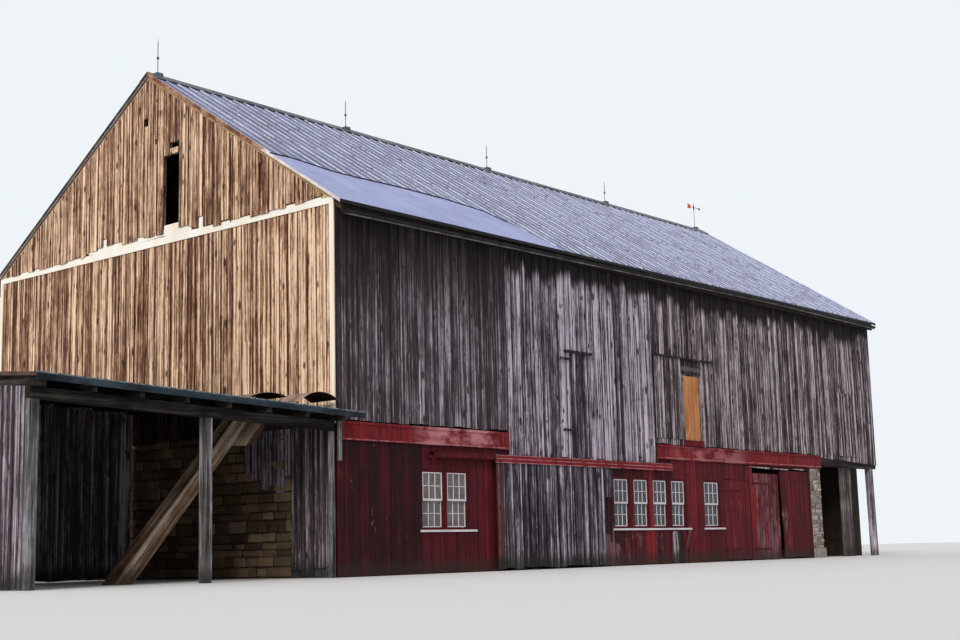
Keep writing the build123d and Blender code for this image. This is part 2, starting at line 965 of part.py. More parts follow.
# Grey sliding doors: boards with three ledges and a brace behind, hung from wheels on the rail
board_y = (-grey_stand_off - grey_board, -grey_stand_off)
ledge_span = (-grey_stand_off, -grey_stand_off + ledge_thickness)
grey_top = rail_height - rail_gap
left_leaf = (grey_start, grey_start + grey_leaf - grey_seam_gap / 2)
right_leaf = (grey_start + grey_leaf + grey_seam_gap / 2, grey_start + 2 * grey_leaf)


def grey_door(start, end, way):
    """One leaf; its brace climbs to the east where way is 1 and to the west where it is -1."""
    front_block((start, end), board_y, (grey_bottom, grey_top))
    middle = (grey_bottom + grey_top) / 2
    half = ledge_height / 2
    for place in (grey_bottom + ledge_from_end, middle, grey_top - ledge_from_end):
        front_block((start + ledge_inset, end - ledge_inset), ledge_span, (place - half, place + half))
    near, far = (start, end) if way == 1 else (end, start)
    low = near + way * brace_inset
    high = far - way * (brace_inset + brace_board)
    foot_z = grey_bottom + ledge_from_end + half
    head_z = middle - half
    brace = [
        (along(low), foot_z),
        (along(low + way * brace_board), foot_z),
        (along(high + way * brace_board), head_z),
        (along(high), head_z),
    ]
    with BuildSketch(Plane.XZ.offset(-deep(ledge_span[1]))) as outline:
        with BuildLine():
            Polyline(brace, close=True)
        make_face()
    extrude(outline.sketch, amount=ledge_thickness)


def door_hangers(start, end):
    """Two straps up the leaf's face, each with an axle and a wheel that runs on the rail."""
    strap_y = (board_y[0] - hanger_thickness, board_y[0])
    axle_height = rail_top + seat + wheel_radius
    half = hanger_width / 2
    wheel_back = -grey_stand_off + wheel_width / 2
    for centre in (start + hanger_inset, end - hanger_inset):
        strap_z = (grey_top - hanger_length, axle_height + half)
        front_block((centre - half, centre + half), strap_y, strap_z)
        with BuildSketch(Plane.XZ.offset(-deep(wheel_back))) as outline:
            with Locations((along(centre), axle_height)):
                Circle(wheel_radius)
        extrude(outline.sketch, amount=wheel_width)
        with BuildSketch(Plane.XZ.offset(-deep(-grey_stand_off))) as outline:
            with Locations((along(centre), axle_height)):
                Circle(axle_radius)
        extrude(outline.sketch, amount=-strap_y[1] - grey_stand_off)


with BuildPart() as grey_door_left:
    grey_door(*left_leaf, 1)
finish(grey_door_left, "grey_door_left")

with BuildPart() as grey_door_right:
    grey_door(*right_leaf, -1)
    broken_y = (board_y[0] - slack, ledge_span[1] + slack)
    front_block((broken_foot_start, right_leaf[1] + slack), broken_y, (0, broken_foot_top), Mode.SUBTRACT)
finish(grey_door_right, "grey_door_right")

with BuildPart() as left_door_hangers:
    door_hangers(*left_leaf)
finish(left_door_hangers, "left_door_hangers")

with BuildPart() as right_door_hangers:
    door_hangers(*right_leaf)
finish(right_door_hangers, "right_door_hangers")


# Swinging doors hung on strap hinges, each strap's eye on a pin driven into the jamb
def reach(hinge_edge, way, near, far):
    """The span between two distances from a door's hinge edge; way is 1 to the east, -1 to the west."""
    return tuple(sorted((hinge_edge + way * near, hinge_edge + way * far)))


def strap_heights(height):
    """Heights of the middle of a door's lower and upper strap."""
    return (grey_bottom + hinge_from_end, height - hinge_from_end)


def round_piece(hinge_edge, way, foot, radius, tall, mode=Mode.ADD):
    """A round piece about a door's hinge line."""
    with BuildSketch(Plane.XY.offset(foot)) as outline:
        with Locations((along(hinge_edge + way * pin_inset), deep(-pin_stand_off))):
            Circle(radius)
    extrude(outline.sketch, amount=tall, mode=mode)


def swing_door(hinge_edge, way, width, height, spread=0):
    """A ledged leaf from its hinge edge, its free edge drawn back at the foot by a spread."""
    leaf = [
        (along(hinge_edge + way * leaf_gap), grey_bottom),
        (along(hinge_edge + way * (width - spread)), grey_bottom),
        (along(hinge_edge + way * width), height),
        (along(hinge_edge + way * leaf_gap), height),
    ]
    with BuildSketch(Plane.XZ.offset(-deep(leaf_board))) as outline:
        with BuildLine():
            Polyline(leaf, close=True)
        make_face()
    extrude(outline.sketch, amount=leaf_board)
    ledge_x = reach(hinge_edge, way, ledge_inset, width - spread - ledge_inset)
    half = ledge_height / 2
    for place in (*strap_heights(height), (grey_bottom + height) / 2):
        front_block(ledge_x, (leaf_board, leaf_board + ledge_thickness), (place - half, place + half))


def strap_hinges(hinge_edge, way, width, height):
    """Two straps across a leaf's face, each rolled into an eye about the hinge line."""
    half = strap_width / 2
    for place in strap_heights(height):
        strap_x = reach(hinge_edge, way, pin_inset, width * hinge_share)
        front_block(strap_x, (-strap_thickness, 0), (place - half, place + half))
        round_piece(hinge_edge, way, place - half, eye_radius, strap_width)
        bore = pin_radius + pin_clearance
        round_piece(hinge_edge, way, place - half, bore, strap_width, Mode.SUBTRACT)


def hinge_pins(hinge_edge, way, height):
    """Pins for one door: an arm out of the jamb under each strap's eye and a pin up through it."""
    for place in strap_heights(height):
        arm_top = place - strap_width / 2 - seat
        arm_z = (arm_top - pin_arm, arm_top)
        arm_y = (-pin_stand_off - pin_radius, -pin_stand_off + pin_radius - 1)
        front_block(reach(hinge_edge, way, -strap_width, pin_inset + pin_radius), arm_y, arm_z)
        front_block(reach(hinge_edge, way, -strap_width, -pin_inset), (-pin_stand_off, 0), arm_z)
        round_piece(hinge_edge, way, arm_top, pin_radius, strap_width + pin_tip)


stable_leaf = (stable_start, 1, stable_width - leaf_gap, stable_height)
red_left_leaf = (red_start, 1, red_seam_start - red_start, red_left_height)
red_right_leaf = (red_end, -1, red_end - red_seam_end, red_right_height)

with BuildPart() as stable_door:
    swing_door(*stable_leaf)
finish(stable_door, "stable_door")

with BuildPart() as red_door_left:
    swing_door(*red_left_leaf)
finish(red_door_left, "red_door_left")

with BuildPart() as red_door_right:
    swing_door(*red_right_leaf, spread=red_seam_spread)
finish(red_door_right, "red_door_right")

with BuildPart() as stable_door_hinges:
    strap_hinges(*stable_leaf)
finish(stable_door_hinges, "stable_door_hinges")

with BuildPart() as left_door_hinges:
    strap_hinges(*red_left_leaf)
finish(left_door_hinges, "left_door_hinges")

with BuildPart() as right_door_hinges:
    strap_hinges(*red_right_leaf)
finish(right_door_hinges, "right_door_hinges")

with BuildPart() as hinge_pintles:
    for hinge_edge, way, _, height in (stable_leaf, red_left_leaf, red_right_leaf):
        hinge_pins(hinge_edge, way, height)
finish(hinge_pintles, "hinge_pintles")


# Lightning rods on saddles over the ridge cap
def ridge_saddle(place):
    """A small saddle that sits on both slopes of the ridge cap."""
    low = cap_top - saddle_reach * slope
    x_span = (place - saddle_length / 2, place + saddle_length / 2)
    front_block(x_span, (half_width - saddle_reach, half_width + saddle_reach), (low, cap_top + 20))
    cap_wedge = [
        (half_width, cap_top),
        (half_width + 2 * saddle_reach, cap_top - 2 * saddle_reach * slope),
        (half_width - 2 * saddle_reach, cap_top - 2 * saddle_reach * slope),
    ]
    cross_profile(cap_wedge, x_span[0] - slack, x_span[1] + slack, Mode.SUBTRACT)


def rod(place, height, radius, tip):
    """An eight-sided rod from the saddle, drawn to a point over its last stretch."""
    with BuildSketch(Plane.XY.offset(cap_top)) as outline:
        with Locations((along(place), deep(half_width))):
            RegularPolygon(radius, rod_sides)
    extrude(outline.sketch, amount=height - tip)
    with BuildSketch(Plane.XY.offset(cap_top + height - tip)) as outline:
        with Locations((along(place), deep(half_width))):
            RegularPolygon(radius, rod_sides)
    extrude(outline.sketch, amount=tip, taper=math.degrees(math.atan(radius * point_share / tip)))


def cut_ball(place, height):
    """The faceted glass ball threaded on a rod."""
    for way in (1, -1):
        with BuildSketch(Plane.XY.offset(height)) as outline:
            with Locations((along(place), deep(half_width))):
                RegularPolygon(rod_ball, rod_sides)
        extrude(outline.sketch, amount=way * rod_ball * ball_flat, taper=ball_taper)


with BuildPart() as lightning_rods:
    for place, height in zip(rod_places, rod_heights):
        ridge_saddle(place)
        rod(place, height, rod_radius, rod_tip)
        cut_ball(place, cap_top + height * ball_share)
    ridge_saddle(vane_place)
    rod(vane_place, vane_height, vane_radius, vane_tip)
    with BuildSketch(Plane.XY.offset(cap_top + vane_seat - vane_collar)):
        with Locations((along(vane_place), deep(half_width))):
            Circle(vane_radius * 2.5)
    extrude(amount=vane_collar)
finish(lightning_rods, "lightning_rods")

vane_x = along(vane_place)
vane_y = deep(half_width)
sleeve_foot = cap_top + vane_seat + seat
arrow_height = sleeve_foot + vane_sleeve / 2
tail_x = vane_x - vane_arrow / 2
tip_x = vane_x + vane_arrow / 2
tail_notch = vane_head / 2
tail_plate = [
    (tail_x, arrow_height + vane_half_height),
    (tail_x + tail_notch, arrow_height),
    (tail_x, arrow_height - vane_half_height),
    (tail_x + vane_tail - vane_half_height, arrow_height - vane_half_height),
    (tail_x + vane_tail, arrow_height),
    (tail_x + vane_tail - vane_half_height, arrow_height + vane_half_height),
]
head_plate = [
    (tip_x, arrow_height),
    (tip_x - vane_head, arrow_height + tail_notch),
    (tip_x - vane_head, arrow_height - tail_notch),
]
with BuildPart() as weather_vane:
    with BuildSketch(Plane.XY.offset(sleeve_foot)):
        with Locations((vane_x, vane_y)):
            Circle(vane_radius * 2.2)
    extrude(amount=vane_sleeve)
    with BuildSketch(Plane.YZ.offset(tail_x + tail_notch)):
        with Locations((vane_y, arrow_height)):
            Circle(vane_radius)
    extrude(amount=vane_arrow - tail_notch - vane_head)
    for plate in (tail_plate, head_plate):
        with BuildSketch(Plane.XZ.offset(-vane_y - vane_plate / 2)):
            with BuildLine():
                Polyline(plate, close=True)
            make_face()
        extrude(amount=vane_plate)
    with BuildSketch(Plane.XY.offset(sleeve_foot)):
        with Locations((vane_x, vane_y)):
            Circle(vane_radius + pin_clearance)
    extrude(amount=vane_sleeve, mode=Mode.SUBTRACT)
finish(weather_vane, "weather_vane")


# Lean-to shed against the west gable
rafter_under = shed_roof_thickness + shed_rafter_depth
beam_under = rafter_under + shed_beam_depth
shed_west = -shed_length
shed_east = -siding - trim_thickness
tall = shed_high_corner + shed_depth

with BuildPart() as shed_roof:
    front_block((-west_reach, shed_east), (-shed_front_overhang, shed_depth + 60), (2000, tall))
    split(bisect_by=shed_plane(0), keep=Keep.BOTTOM)
    split(bisect_by=shed_plane(shed_roof_thickness), keep=Keep.TOP)
finish(shed_roof, "shed_roof")

with BuildPart() as shed_fascia:
    front_block(
        (-west_reach, shed_fascia_nose),
        (-shed_front_overhang - trim_thickness, -shed_front_overhang),
        (2000, tall),
    )
    split(bisect_by=shed_plane(-10), keep=Keep.BOTTOM)
    split(bisect_by=shed_plane(shed_fascia_depth), keep=Keep.TOP)
finish(shed_fascia, "shed_fascia")

shed_rafter_run = (shed_east - shed_west - shed_rafter_width) / (shed_rafter_count - 1)
shed_rafter_starts = [shed_west + number * shed_rafter_run for number in range(shed_rafter_count)]
with BuildPart() as shed_rafters:
    for start in shed_rafter_starts:
        front_block((start, start + shed_rafter_width), (-shed_front_overhang, shed_depth), (2000, tall))
    split(bisect_by=shed_plane(shed_roof_thickness), keep=Keep.BOTTOM)
    split(bisect_by=shed_plane(rafter_under), keep=Keep.TOP)
finish(shed_rafters, "shed_rafters")

with BuildPart() as shed_beam:
    front_block((shed_west, shed_east), (0, shed_beam_width), (2000, tall))
    split(bisect_by=shed_plane(rafter_under), keep=Keep.BOTTOM)
    split(bisect_by=shed_plane(beam_under), keep=Keep.TOP)
finish(shed_beam, "shed_beam")

slim_post_end = shed_east - slack
corner_strip_y = (-band_reach - trim_thickness, -band_reach)
with BuildPart() as shed_posts:
    for start in (shed_west, -middle_post_start):
        front_block((start, start + shed_post), (0, shed_post), (0, tall))
    front_block((slim_post_end - slim_post, slim_post_end), (0, slim_post), (0, tall))
    split(bisect_by=shed_plane(beam_under), keep=Keep.BOTTOM)
    front_block(
        (corner_strip_start, corner_strip_start + corner_strip_width),
        corner_strip_y,
        (corner_strip_foot, corner_strip_top),
    )
finish(shed_posts, "shed_posts")

with BuildPart() as shed_walls:
    front_block((shed_west, shed_west + shed_board), (shed_beam_width, shed_depth), (0, tall))
    front_block((shed_west, shed_east), (shed_depth - shed_board, shed_depth), (0, tall))
    split(bisect_by=shed_plane(rafter_under), keep=Keep.BOTTOM)
finish(shed_walls, "shed_walls")


# Sheets of roofing that have come loose and curled beside the gable
def curled_sheet(end, width, length, rise, from_front):
    """An arched sheet lying on the shed roof, its low edge on the roof."""
    start = end - width
    rest = shed_height(start, from_front + length) + seat
    crest = (along(start + width * 0.55), rest + rise)
    lifted = (along(end), rest + rise * 0.4)
    with BuildSketch(Plane.XZ.offset(-deep(from_front))) as outline:
        with BuildLine():
            ThreePointArc((along(start), rest), crest, lifted)
            Line(lifted, (lifted[0], lifted[1] + sheet_metal))
            ThreePointArc(
                (lifted[0], lifted[1] + sheet_metal),
                (crest[0], crest[1] + sheet_metal),
                (along(start), rest + sheet_metal),
            )
            Line((along(start), rest + sheet_metal), (along(start), rest))
        make_face()
    extrude(outline.sketch, amount=-length)


with BuildPart() as loose_sheets:
    curled_sheet(shed_east - 60, 900, 700, 190, -150)
    curled_sheet(shed_east - 1050, 800, 650, 90, 100)
finish(loose_sheets, "loose_sheets")


# Timber chute, an open trough that leans from the ground up to a round mouth under the rafters
chute_angle = math.radians(chute_slope)
chute_up = Vector(-math.sin(chute_angle), 0, math.cos(chute_angle))
chute_foot = -chute_head - chute_head_height / math.tan(chute_angle)
inner_width = chute_width - 2 * chute_board
mouth_top = shed_height(0, chute_setback + chute_width)


def chute_mouth(inset, near, wide, mode):
    """The mouth at the chute's head, or the room inside it where the inset is a board's thickness."""
    head = Vector(along(-chute_head), 0, chute_head_height)
    floor_end = head + chute_up * inset
    rim_end = head + chute_up * chute_side
    rim_run = (mouth_top - rim_end.Z) / math.tan(chute_angle)
    bend = (along(-chute_head + mouth_floor), chute_head_height + inset)
    belly = (along(-mouth_belly) - inset, mouth_belly_height + inset)
    lip = (along(-mouth_lip) - inset, mouth_lip_height)
    with BuildSketch(Plane.XZ.offset(-deep(near + wide))) as outline:
        with BuildLine():
            Line((floor_end.X, floor_end.Z), bend)
            ThreePointArc(bend, belly, lip)
            Polyline(
                lip,
                (lip[0], mouth_top),
                (rim_end.X + rim_run, mouth_top),
                (rim_end.X, rim_end.Z),
                (floor_end.X, floor_end.Z),
            )
        make_face()
    extrude(outline.sketch, amount=wide, mode=mode)


with BuildPart() as hay_chute:
    run_way = (math.cos(chute_angle), 0, math.sin(chute_angle))
    foot_point = Vector(along(chute_foot), deep(chute_setback + chute_width / 2), 0)
    trough_start = foot_point - Vector(run_way) * chute_side
    with BuildSketch(Plane(origin=trough_start, x_dir=(0, 1, 0), z_dir=run_way)):
        with Locations((0, chute_side / 2)):
            Rectangle(chute_width, chute_side)
        with Locations((0, (chute_side + chute_board) / 2)):
            Rectangle(inner_width, chute_side - chute_board, mode=Mode.SUBTRACT)
    extrude(amount=chute_head_height / math.sin(chute_angle) + chute_side)
    chute_mouth(0, chute_setback, chute_width, Mode.ADD)
    chute_mouth(chute_board, chute_setback + chute_board, inner_width, Mode.SUBTRACT)
    split(bisect_by=Plane.XY, keep=Keep.TOP)
    split(bisect_by=shed_plane(rafter_under + seat), keep=Keep.BOTTOM)
finish(hay_chute, "hay_chute")
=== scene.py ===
import bpy
import math
import random

import numpy as np
from mathutils import Matrix, Vector


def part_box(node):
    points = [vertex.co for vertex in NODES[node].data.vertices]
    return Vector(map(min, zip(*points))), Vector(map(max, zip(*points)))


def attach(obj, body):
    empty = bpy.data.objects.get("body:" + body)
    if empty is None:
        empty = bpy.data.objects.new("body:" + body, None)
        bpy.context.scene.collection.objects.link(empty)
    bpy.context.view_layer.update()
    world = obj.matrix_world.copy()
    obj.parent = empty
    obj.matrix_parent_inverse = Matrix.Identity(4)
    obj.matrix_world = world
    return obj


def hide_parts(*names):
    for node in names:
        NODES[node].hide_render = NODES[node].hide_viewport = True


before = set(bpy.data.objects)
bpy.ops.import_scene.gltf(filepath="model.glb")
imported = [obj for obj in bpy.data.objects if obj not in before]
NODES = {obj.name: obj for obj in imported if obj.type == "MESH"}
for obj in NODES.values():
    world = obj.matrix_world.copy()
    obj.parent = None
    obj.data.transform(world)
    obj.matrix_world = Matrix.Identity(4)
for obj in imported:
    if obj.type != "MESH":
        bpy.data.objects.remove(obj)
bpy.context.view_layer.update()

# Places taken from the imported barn, in metres
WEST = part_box("front_siding")[0].x
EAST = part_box("front_siding")[1].x
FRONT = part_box("front_wall_left")[0].y
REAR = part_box("rear_stone_wall")[1].y
LENGTH = EAST - WEST
WIDTH = REAR - FRONT
RIDGE_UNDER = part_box("west_gable")[1].z
SIDING_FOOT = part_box("west_gable")[0].z
SIDING_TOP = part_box("front_siding")[1].z
BAND_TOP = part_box("gable_bands")[1].z
PITCH = math.radians(33)
SLOPE = math.tan(PITCH)
WALL_TOP = RIDGE_UNDER - WIDTH / 2 * SLOPE
SMOOTH_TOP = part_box("smooth_roof_sheets")[1].z
SHED_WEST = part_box("shed_walls")[0].x - WEST
SHED_EAST = -0.055
SHED_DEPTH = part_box("shed_walls")[1].y - FRONT
SHED_CORNER = 2.93
SHED_OVERHANG = 0.29
SHED_RISE = 0.0963
SHED_FALL = 0.2 / 6.2
SHED_SHEET = 0.06
SHED_RAFTER = 0.14

# Boards, stones, roof ribs and window bars, in metres
BOARD = {"width": 0.25, "thickness": 0.03, "ease": 0.004, "cuts": 5}
BOARD_WIDTHS = (0.19, 0.33)
BOARD_GAPS = (0.004, 0.014)
SHORTEST = 0.03
STONE = {"length": 0.4, "depth": 0.07, "height": 0.2, "ease": 0.016}
SEAM = {"width": 0.024, "height": 0.026, "pitch": 0.61, "start": -0.12, "ease": 0.006}
BAR = {"width": 0.016, "depth": 0.02, "ease": 0.005}
LEDGE = {"half": 0.065, "thickness": 0.028, "inset": 0.06}
FLOOR_GAP = 0.012

# How far inwards of the wall's plane the outer faces of boards lie
SIDING_FACE = -0.031
PANEL_FACE = -0.053
PATCH_FACE = -0.056
LAPPED_FACE = -0.082
RED_FACE = -0.008
SLIDING_FACE = -0.115
SLIDING_LEDGE_FACE = -0.0905
SWINGING_LEDGE_FACE = 0.0245


# Working in edit mode
def deselect():
    """Leave nothing selected, in object mode."""
    if bpy.context.object and bpy.context.object.mode != "OBJECT":
        bpy.ops.object.mode_set(mode="OBJECT")
    bpy.ops.object.select_all(action="DESELECT")


def pick_edges(piece, wanted):
    """Select the edges whose direction and middle suit, and stay in edit mode."""
    bpy.ops.object.mode_set(mode="EDIT")
    bpy.ops.mesh.select_mode(type="EDGE")
    bpy.ops.mesh.select_all(action="DESELECT")
    bpy.ops.object.mode_set(mode="OBJECT")
    for edge in piece.data.edges:
        ends = [piece.data.vertices[v].co for v in edge.vertices]
        edge.select = wanted((ends[1] - ends[0]).normalized(), (ends[0] + ends[1]) / 2)
    bpy.ops.object.mode_set(mode="EDIT")


class Master:
    """A block that pieces are copied from: some edges eased, cut across where it is to bow."""

    def __init__(self, name, size, ease, wanted, cuts=0):
        deselect()
        bpy.ops.mesh.primitive_cube_add(size=1)
        self.piece = bpy.context.object
        self.piece.name = name
        self.piece.scale = size
        self.piece.location = Vector(size) / 2
        bpy.ops.object.transform_apply(location=True, rotation=True, scale=True)
        pick_edges(self.piece, wanted)
        bpy.ops.mesh.bevel(offset=ease, segments=1, affect="EDGES")
        for number in range(1, cuts + 1):
            bpy.ops.mesh.select_all(action="SELECT")
            bpy.ops.mesh.bisect(plane_co=(0, 0, number / (cuts + 1)), plane_no=(0, 0, 1))
        bpy.ops.object.mode_set(mode="OBJECT")
        self.piece.data.attributes.new("tint", "FLOAT_COLOR", "POINT")
        points = np.zeros(len(self.piece.data.vertices) * 3)
        self.piece.data.vertices.foreach_get("co", points)
        self.points = points.reshape(-1, 3)

    def copy(self, points, tint=None):
        """A copy with its points moved and its tint (chance, tone, bareness, place across) set."""
        if tint is None:
            tint = np.full((len(points), 4), 0.5)
        piece = self.piece.copy()
        piece.data = self.piece.data.copy()
        piece.data.vertices.foreach_set("co", points.astype(np.float32).ravel())
        piece.data.attributes["tint"].data.foreach_set("color", tint.astype(np.float32).ravel())
        bpy.context.scene.collection.objects.link(piece)
        return piece

    def remove(self):
        """Take the block away once its copies are made."""
        bpy.data.objects.remove(self.piece)


def joined(pieces, name, turn, origin):
    """Join copies into one piece, turn it from wall coordinates to its place and apply that."""
    deselect()
    for piece in pieces:
        piece.select_set(True)
    bpy.context.view_layer.objects.active = pieces[0]
    if len(pieces) > 1:
        bpy.ops.object.join()
    piece = bpy.context.object
    piece.name = name
    piece.data.name = name
    piece.matrix_world = Matrix.Translation(origin) @ Matrix.Rotation(math.radians(turn), 4, "Z")
    bpy.ops.object.transform_apply(location=True, rotation=True, scale=True)
    bpy.ops.object.shade_smooth_by_angle(angle=math.radians(25))
    return piece


def settle(piece, body, slot, *nodes):
    """Say which body carries a piece and the plain nodes that it stands for; slot is not used."""
    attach(piece, body)
    if nodes:
        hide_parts(*nodes)


# Walls: each is laid out as seen from outside, across from its left corner, inwards and up
WALLS = {
    "front": (0, (WEST, FRONT, 0)),
    "east": (90, (EAST, FRONT, 0)),
    "rear": (180, (EAST, REAR, 0)),
    "west": (-90, (WEST, REAR, 0)),
}


class Boarding:
    """Upright boards on one wall, laid side by side and cut round its openings."""

    def __init__(self, seed, outer, thickness=BOARD["thickness"]):
        self.chance = random.Random(seed)
        self.outer = outer
        self.thickness = thickness
        self.spread = 0.17
        self.pieces = []
        self.tone = lambda across, up: 0.5
        self.bare = lambda across, up: 0.5

    def board(self, left, right, foot, head, lean=(0, 0), bow=0.004, outer=None, thickness=None):
        """One board between two edges; foot and head are heights or functions of the place across."""
        draw = self.chance.uniform
        outer = self.outer if outer is None else outer
        thickness = self.thickness if thickness is None else thickness
        shape = BOARD_MASTER.points
        rise = shape[:, 2]
        near_left = shape[:, 0] < BOARD["width"] / 2
        from_left = left + lean[0] * (1 - rise) + shape[:, 0]
        from_right = right + lean[1] * (1 - rise) - (BOARD["width"] - shape[:, 0])
        across = np.where(near_left, from_left, from_right)
        low = np.array([foot(a) if callable(foot) else foot for a in across])
        high = np.array([head(a) if callable(head) else head for a in across])
        slant = draw(-0.05, 0.05)
        low = low + slant * (across - (left + right) / 2)
        up = low + rise * (high - low)
        out = draw(-bow, bow) + draw(-bow, bow) * np.sin(np.pi * rise)
        cup = draw(-0.002, 0.002) * np.where(near_left, -1, 1)
        depth = outer + shape[:, 1] * thickness / BOARD["thickness"] + out + cup
        tint = np.ones((len(shape), 4))
        tint[:, 0] = draw(0, 1)
        shade = draw(-self.spread, self.spread)
        tint[:, 1] = [self.tone(a, z) + shade for a, z in zip(across, up)]
        tint[:, 2] = [self.bare(a, z) for a, z in zip(across, up)]
        tint[:, 3] = np.clip((across - left) / max(right - left, 0.01), 0, 1)
        self.pieces.append(BOARD_MASTER.copy(np.stack([across, depth, up], axis=1), tint))

    def fill(self, start, end, foot, head, openings=(), ragged=0.03, widths=BOARD_WIDTHS):
        """Boards from start to end, whose edges meet those of the openings (left, right, low, high)."""
        draw = self.chance.uniform
        marks = {start, end}
        for left, right, _, _ in openings:
            marks |= {mark for mark in (left, right) if start < mark < end}
        marks = sorted(marks)
        for near, far in zip(marks, marks[1:]):
            count = max(1, round((far - near) / ((widths[0] + widths[1]) / 2)))
            shares = [draw(*widths) for _ in range(count)]
            edge = near
            for share in shares:
                following = edge + share * (far - near) / sum(shares)
                self.column(edge, following, foot, head, openings, ragged)
                edge = following

    def column(self, left, right, foot, head, openings, ragged):
        """The lengths of board in one board's width, above, below and between the openings."""
        draw = self.chance.uniform
        middle = (left + right) / 2
        gap = draw(*BOARD_GAPS)
        low = foot(middle) if callable(foot) else foot
        high = head(middle) if callable(head) else head
        drop = draw(0, ragged)
        cuts = sorted((z0, z1) for a, b, z0, z1 in openings if a - 0.001 <= middle <= b + 0.001)
        below = low + drop
        for z0, z1 in cuts:
            if z0 > below + SHORTEST:
                self.board(left + gap / 2, right - gap / 2, below, z0)
            below = max(below, z1)
        if high > below + SHORTEST:
            ground = (lambda a: foot(a) + drop) if callable(foot) and below == low + drop else below
            self.board(left + gap / 2, right - gap / 2, ground, head)

    def ledge(self, start, end, middle, outer):
        """One cross board laid level behind a door's boards."""
        self.board(start, end, middle - LEDGE["half"], middle + LEDGE["half"], bow=0, outer=outer,
                   thickness=LEDGE["thickness"])

    def done(self, name, wall, body, slot, *nodes):
        """Join the boards, put them on their wall and let them stand for the plain slabs."""
        piece = joined(self.pieces, name, *WALLS[wall])
        settle(piece, body, slot, *nodes)


def patches(default, *spans):
    """A value that steps with the place across; spans are (from, to, value), and a later one holds."""
    def value(across, up):
        level = default
        for start, end, inside in spans:
            if start <= across <= end:
                level = inside
        return level
    return value


def everywhere(value):
    """A value that is the same all over, as a function of the place."""
    return value if callable(value) else lambda across, up: value


# Boards of the upper walls
FRONT_STEPS = ((0, 4.8, 2.785), (4.8, 10.2, 2.30), (10.2, 18.3, 2.755))
LAST_STEP = {"start": 18.3, "height": 2.69, "fall": 0.034}
FRONT_TONES = ((0, 1.2, 0.22), (1.2, 3.0, 0.28), (3.0, 4.8, 0.42), (4.8, 7.0, 0.65), (7.0, 10.2, 0.63),
               (10.2, 12.4, 0.48), (12.4, 16.0, 0.46), (16.0, LENGTH, 0.5))
PANELS = ((6.95, 7.65, 2.34, 4.6), (10.21, 11.4, 2.9, 4.84), (19.45, 20.64, 2.78, 4.58))


def front_siding_boards():
    """The grey upper boards of the front, longer between the two red bands."""
    def foot(across):
        for start, end, height in FRONT_STEPS:
            if start <= across < end:
                return height
        return LAST_STEP["height"] - (across - LAST_STEP["start"]) * LAST_STEP["fall"]

    wall = Boarding(11, SIDING_FACE)
    wall.spread = 0.26
    wall.tone = patches(0.5, *FRONT_TONES)
    low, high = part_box("plywood_door")
    door = (low.x - WEST, high.x - WEST, low.z, high.z)
    steps = [(start, end, 0, 0) for start, end, _ in FRONT_STEPS]
    wall.fill(0, LENGTH, foot, SIDING_TOP, [door, *steps], ragged=0.035)
    wall.done("front_siding_boards", "front", "barn", "grey_boards", "front_siding")


def panel_boards():
    """The boarded shutters and doors nailed over the upper front."""
    wall = Boarding(12, PANEL_FACE, 0.022)
    wall.tone = patches(0.5, (6.9, 7.7, 0.34), (10.1, 11.5, 0.42), (19.4, 20.7, 0.52))
    for start, end, low, high in PANELS:
        wall.fill(start, end, low, high - 0.002, ragged=0.015, widths=(0.16, 0.26))
    wall.done("panel_boards", "front", "barn", "grey_boards", "board_shutters")


# Gable openings and notches, as depths from the front and heights
SLIT = (4.48, 4.98, 7.15, 8.62)
SLIT_NOTCH = (4.48, 4.78, 8.74, 8.88)
OPEN_JOINTS = ((2.86, 2.885, 7.3, 8.8), (5.31, 5.335, 9.15, 10.25), (1.98, 2.0, 7.2, 7.9),
               (5.52, 5.66, 9.38, 9.56), (5.22, 5.27, 8.93, 9.04))
FOOT_NOTCHES = ((3.71, 3.86, 6.8, 7.15), (4.48, 4.98, 6.8, 7.15), (6.93, 7.07, 6.8, 7.2))
BAND_PATCHES = ((3.71, 3.86, 7.14), (4.1, 4.48, 7.06), (4.48, 4.98, 7.15), (4.98, 6.93, 7.07),
                (6.93, 7.07, 7.19), (7.07, 7.6, 7.03))
FOOT_PATCH = (2.31, 2.5, 2.8, 4.46)
RAISED_FOOT = (4.1, 7.6)
LAP = {"foot": 0.05, "start": 0.13, "head": 0.075, "thickness": 0.024}
UNDER_ROOF = 0.002
SUNLIT_DEPTH = 3.2


def gable_head(drop):
    """Height under the roof along a gable, less a drop."""
    return lambda across: WALL_TOP + min(across, WIDTH - across) * SLOPE - drop


def from_front(turned, near, far):
    """A stretch of depth from the front in the wall's own coordinates."""
    return (near, far) if turned else (WIDTH - far, WIDTH - near)


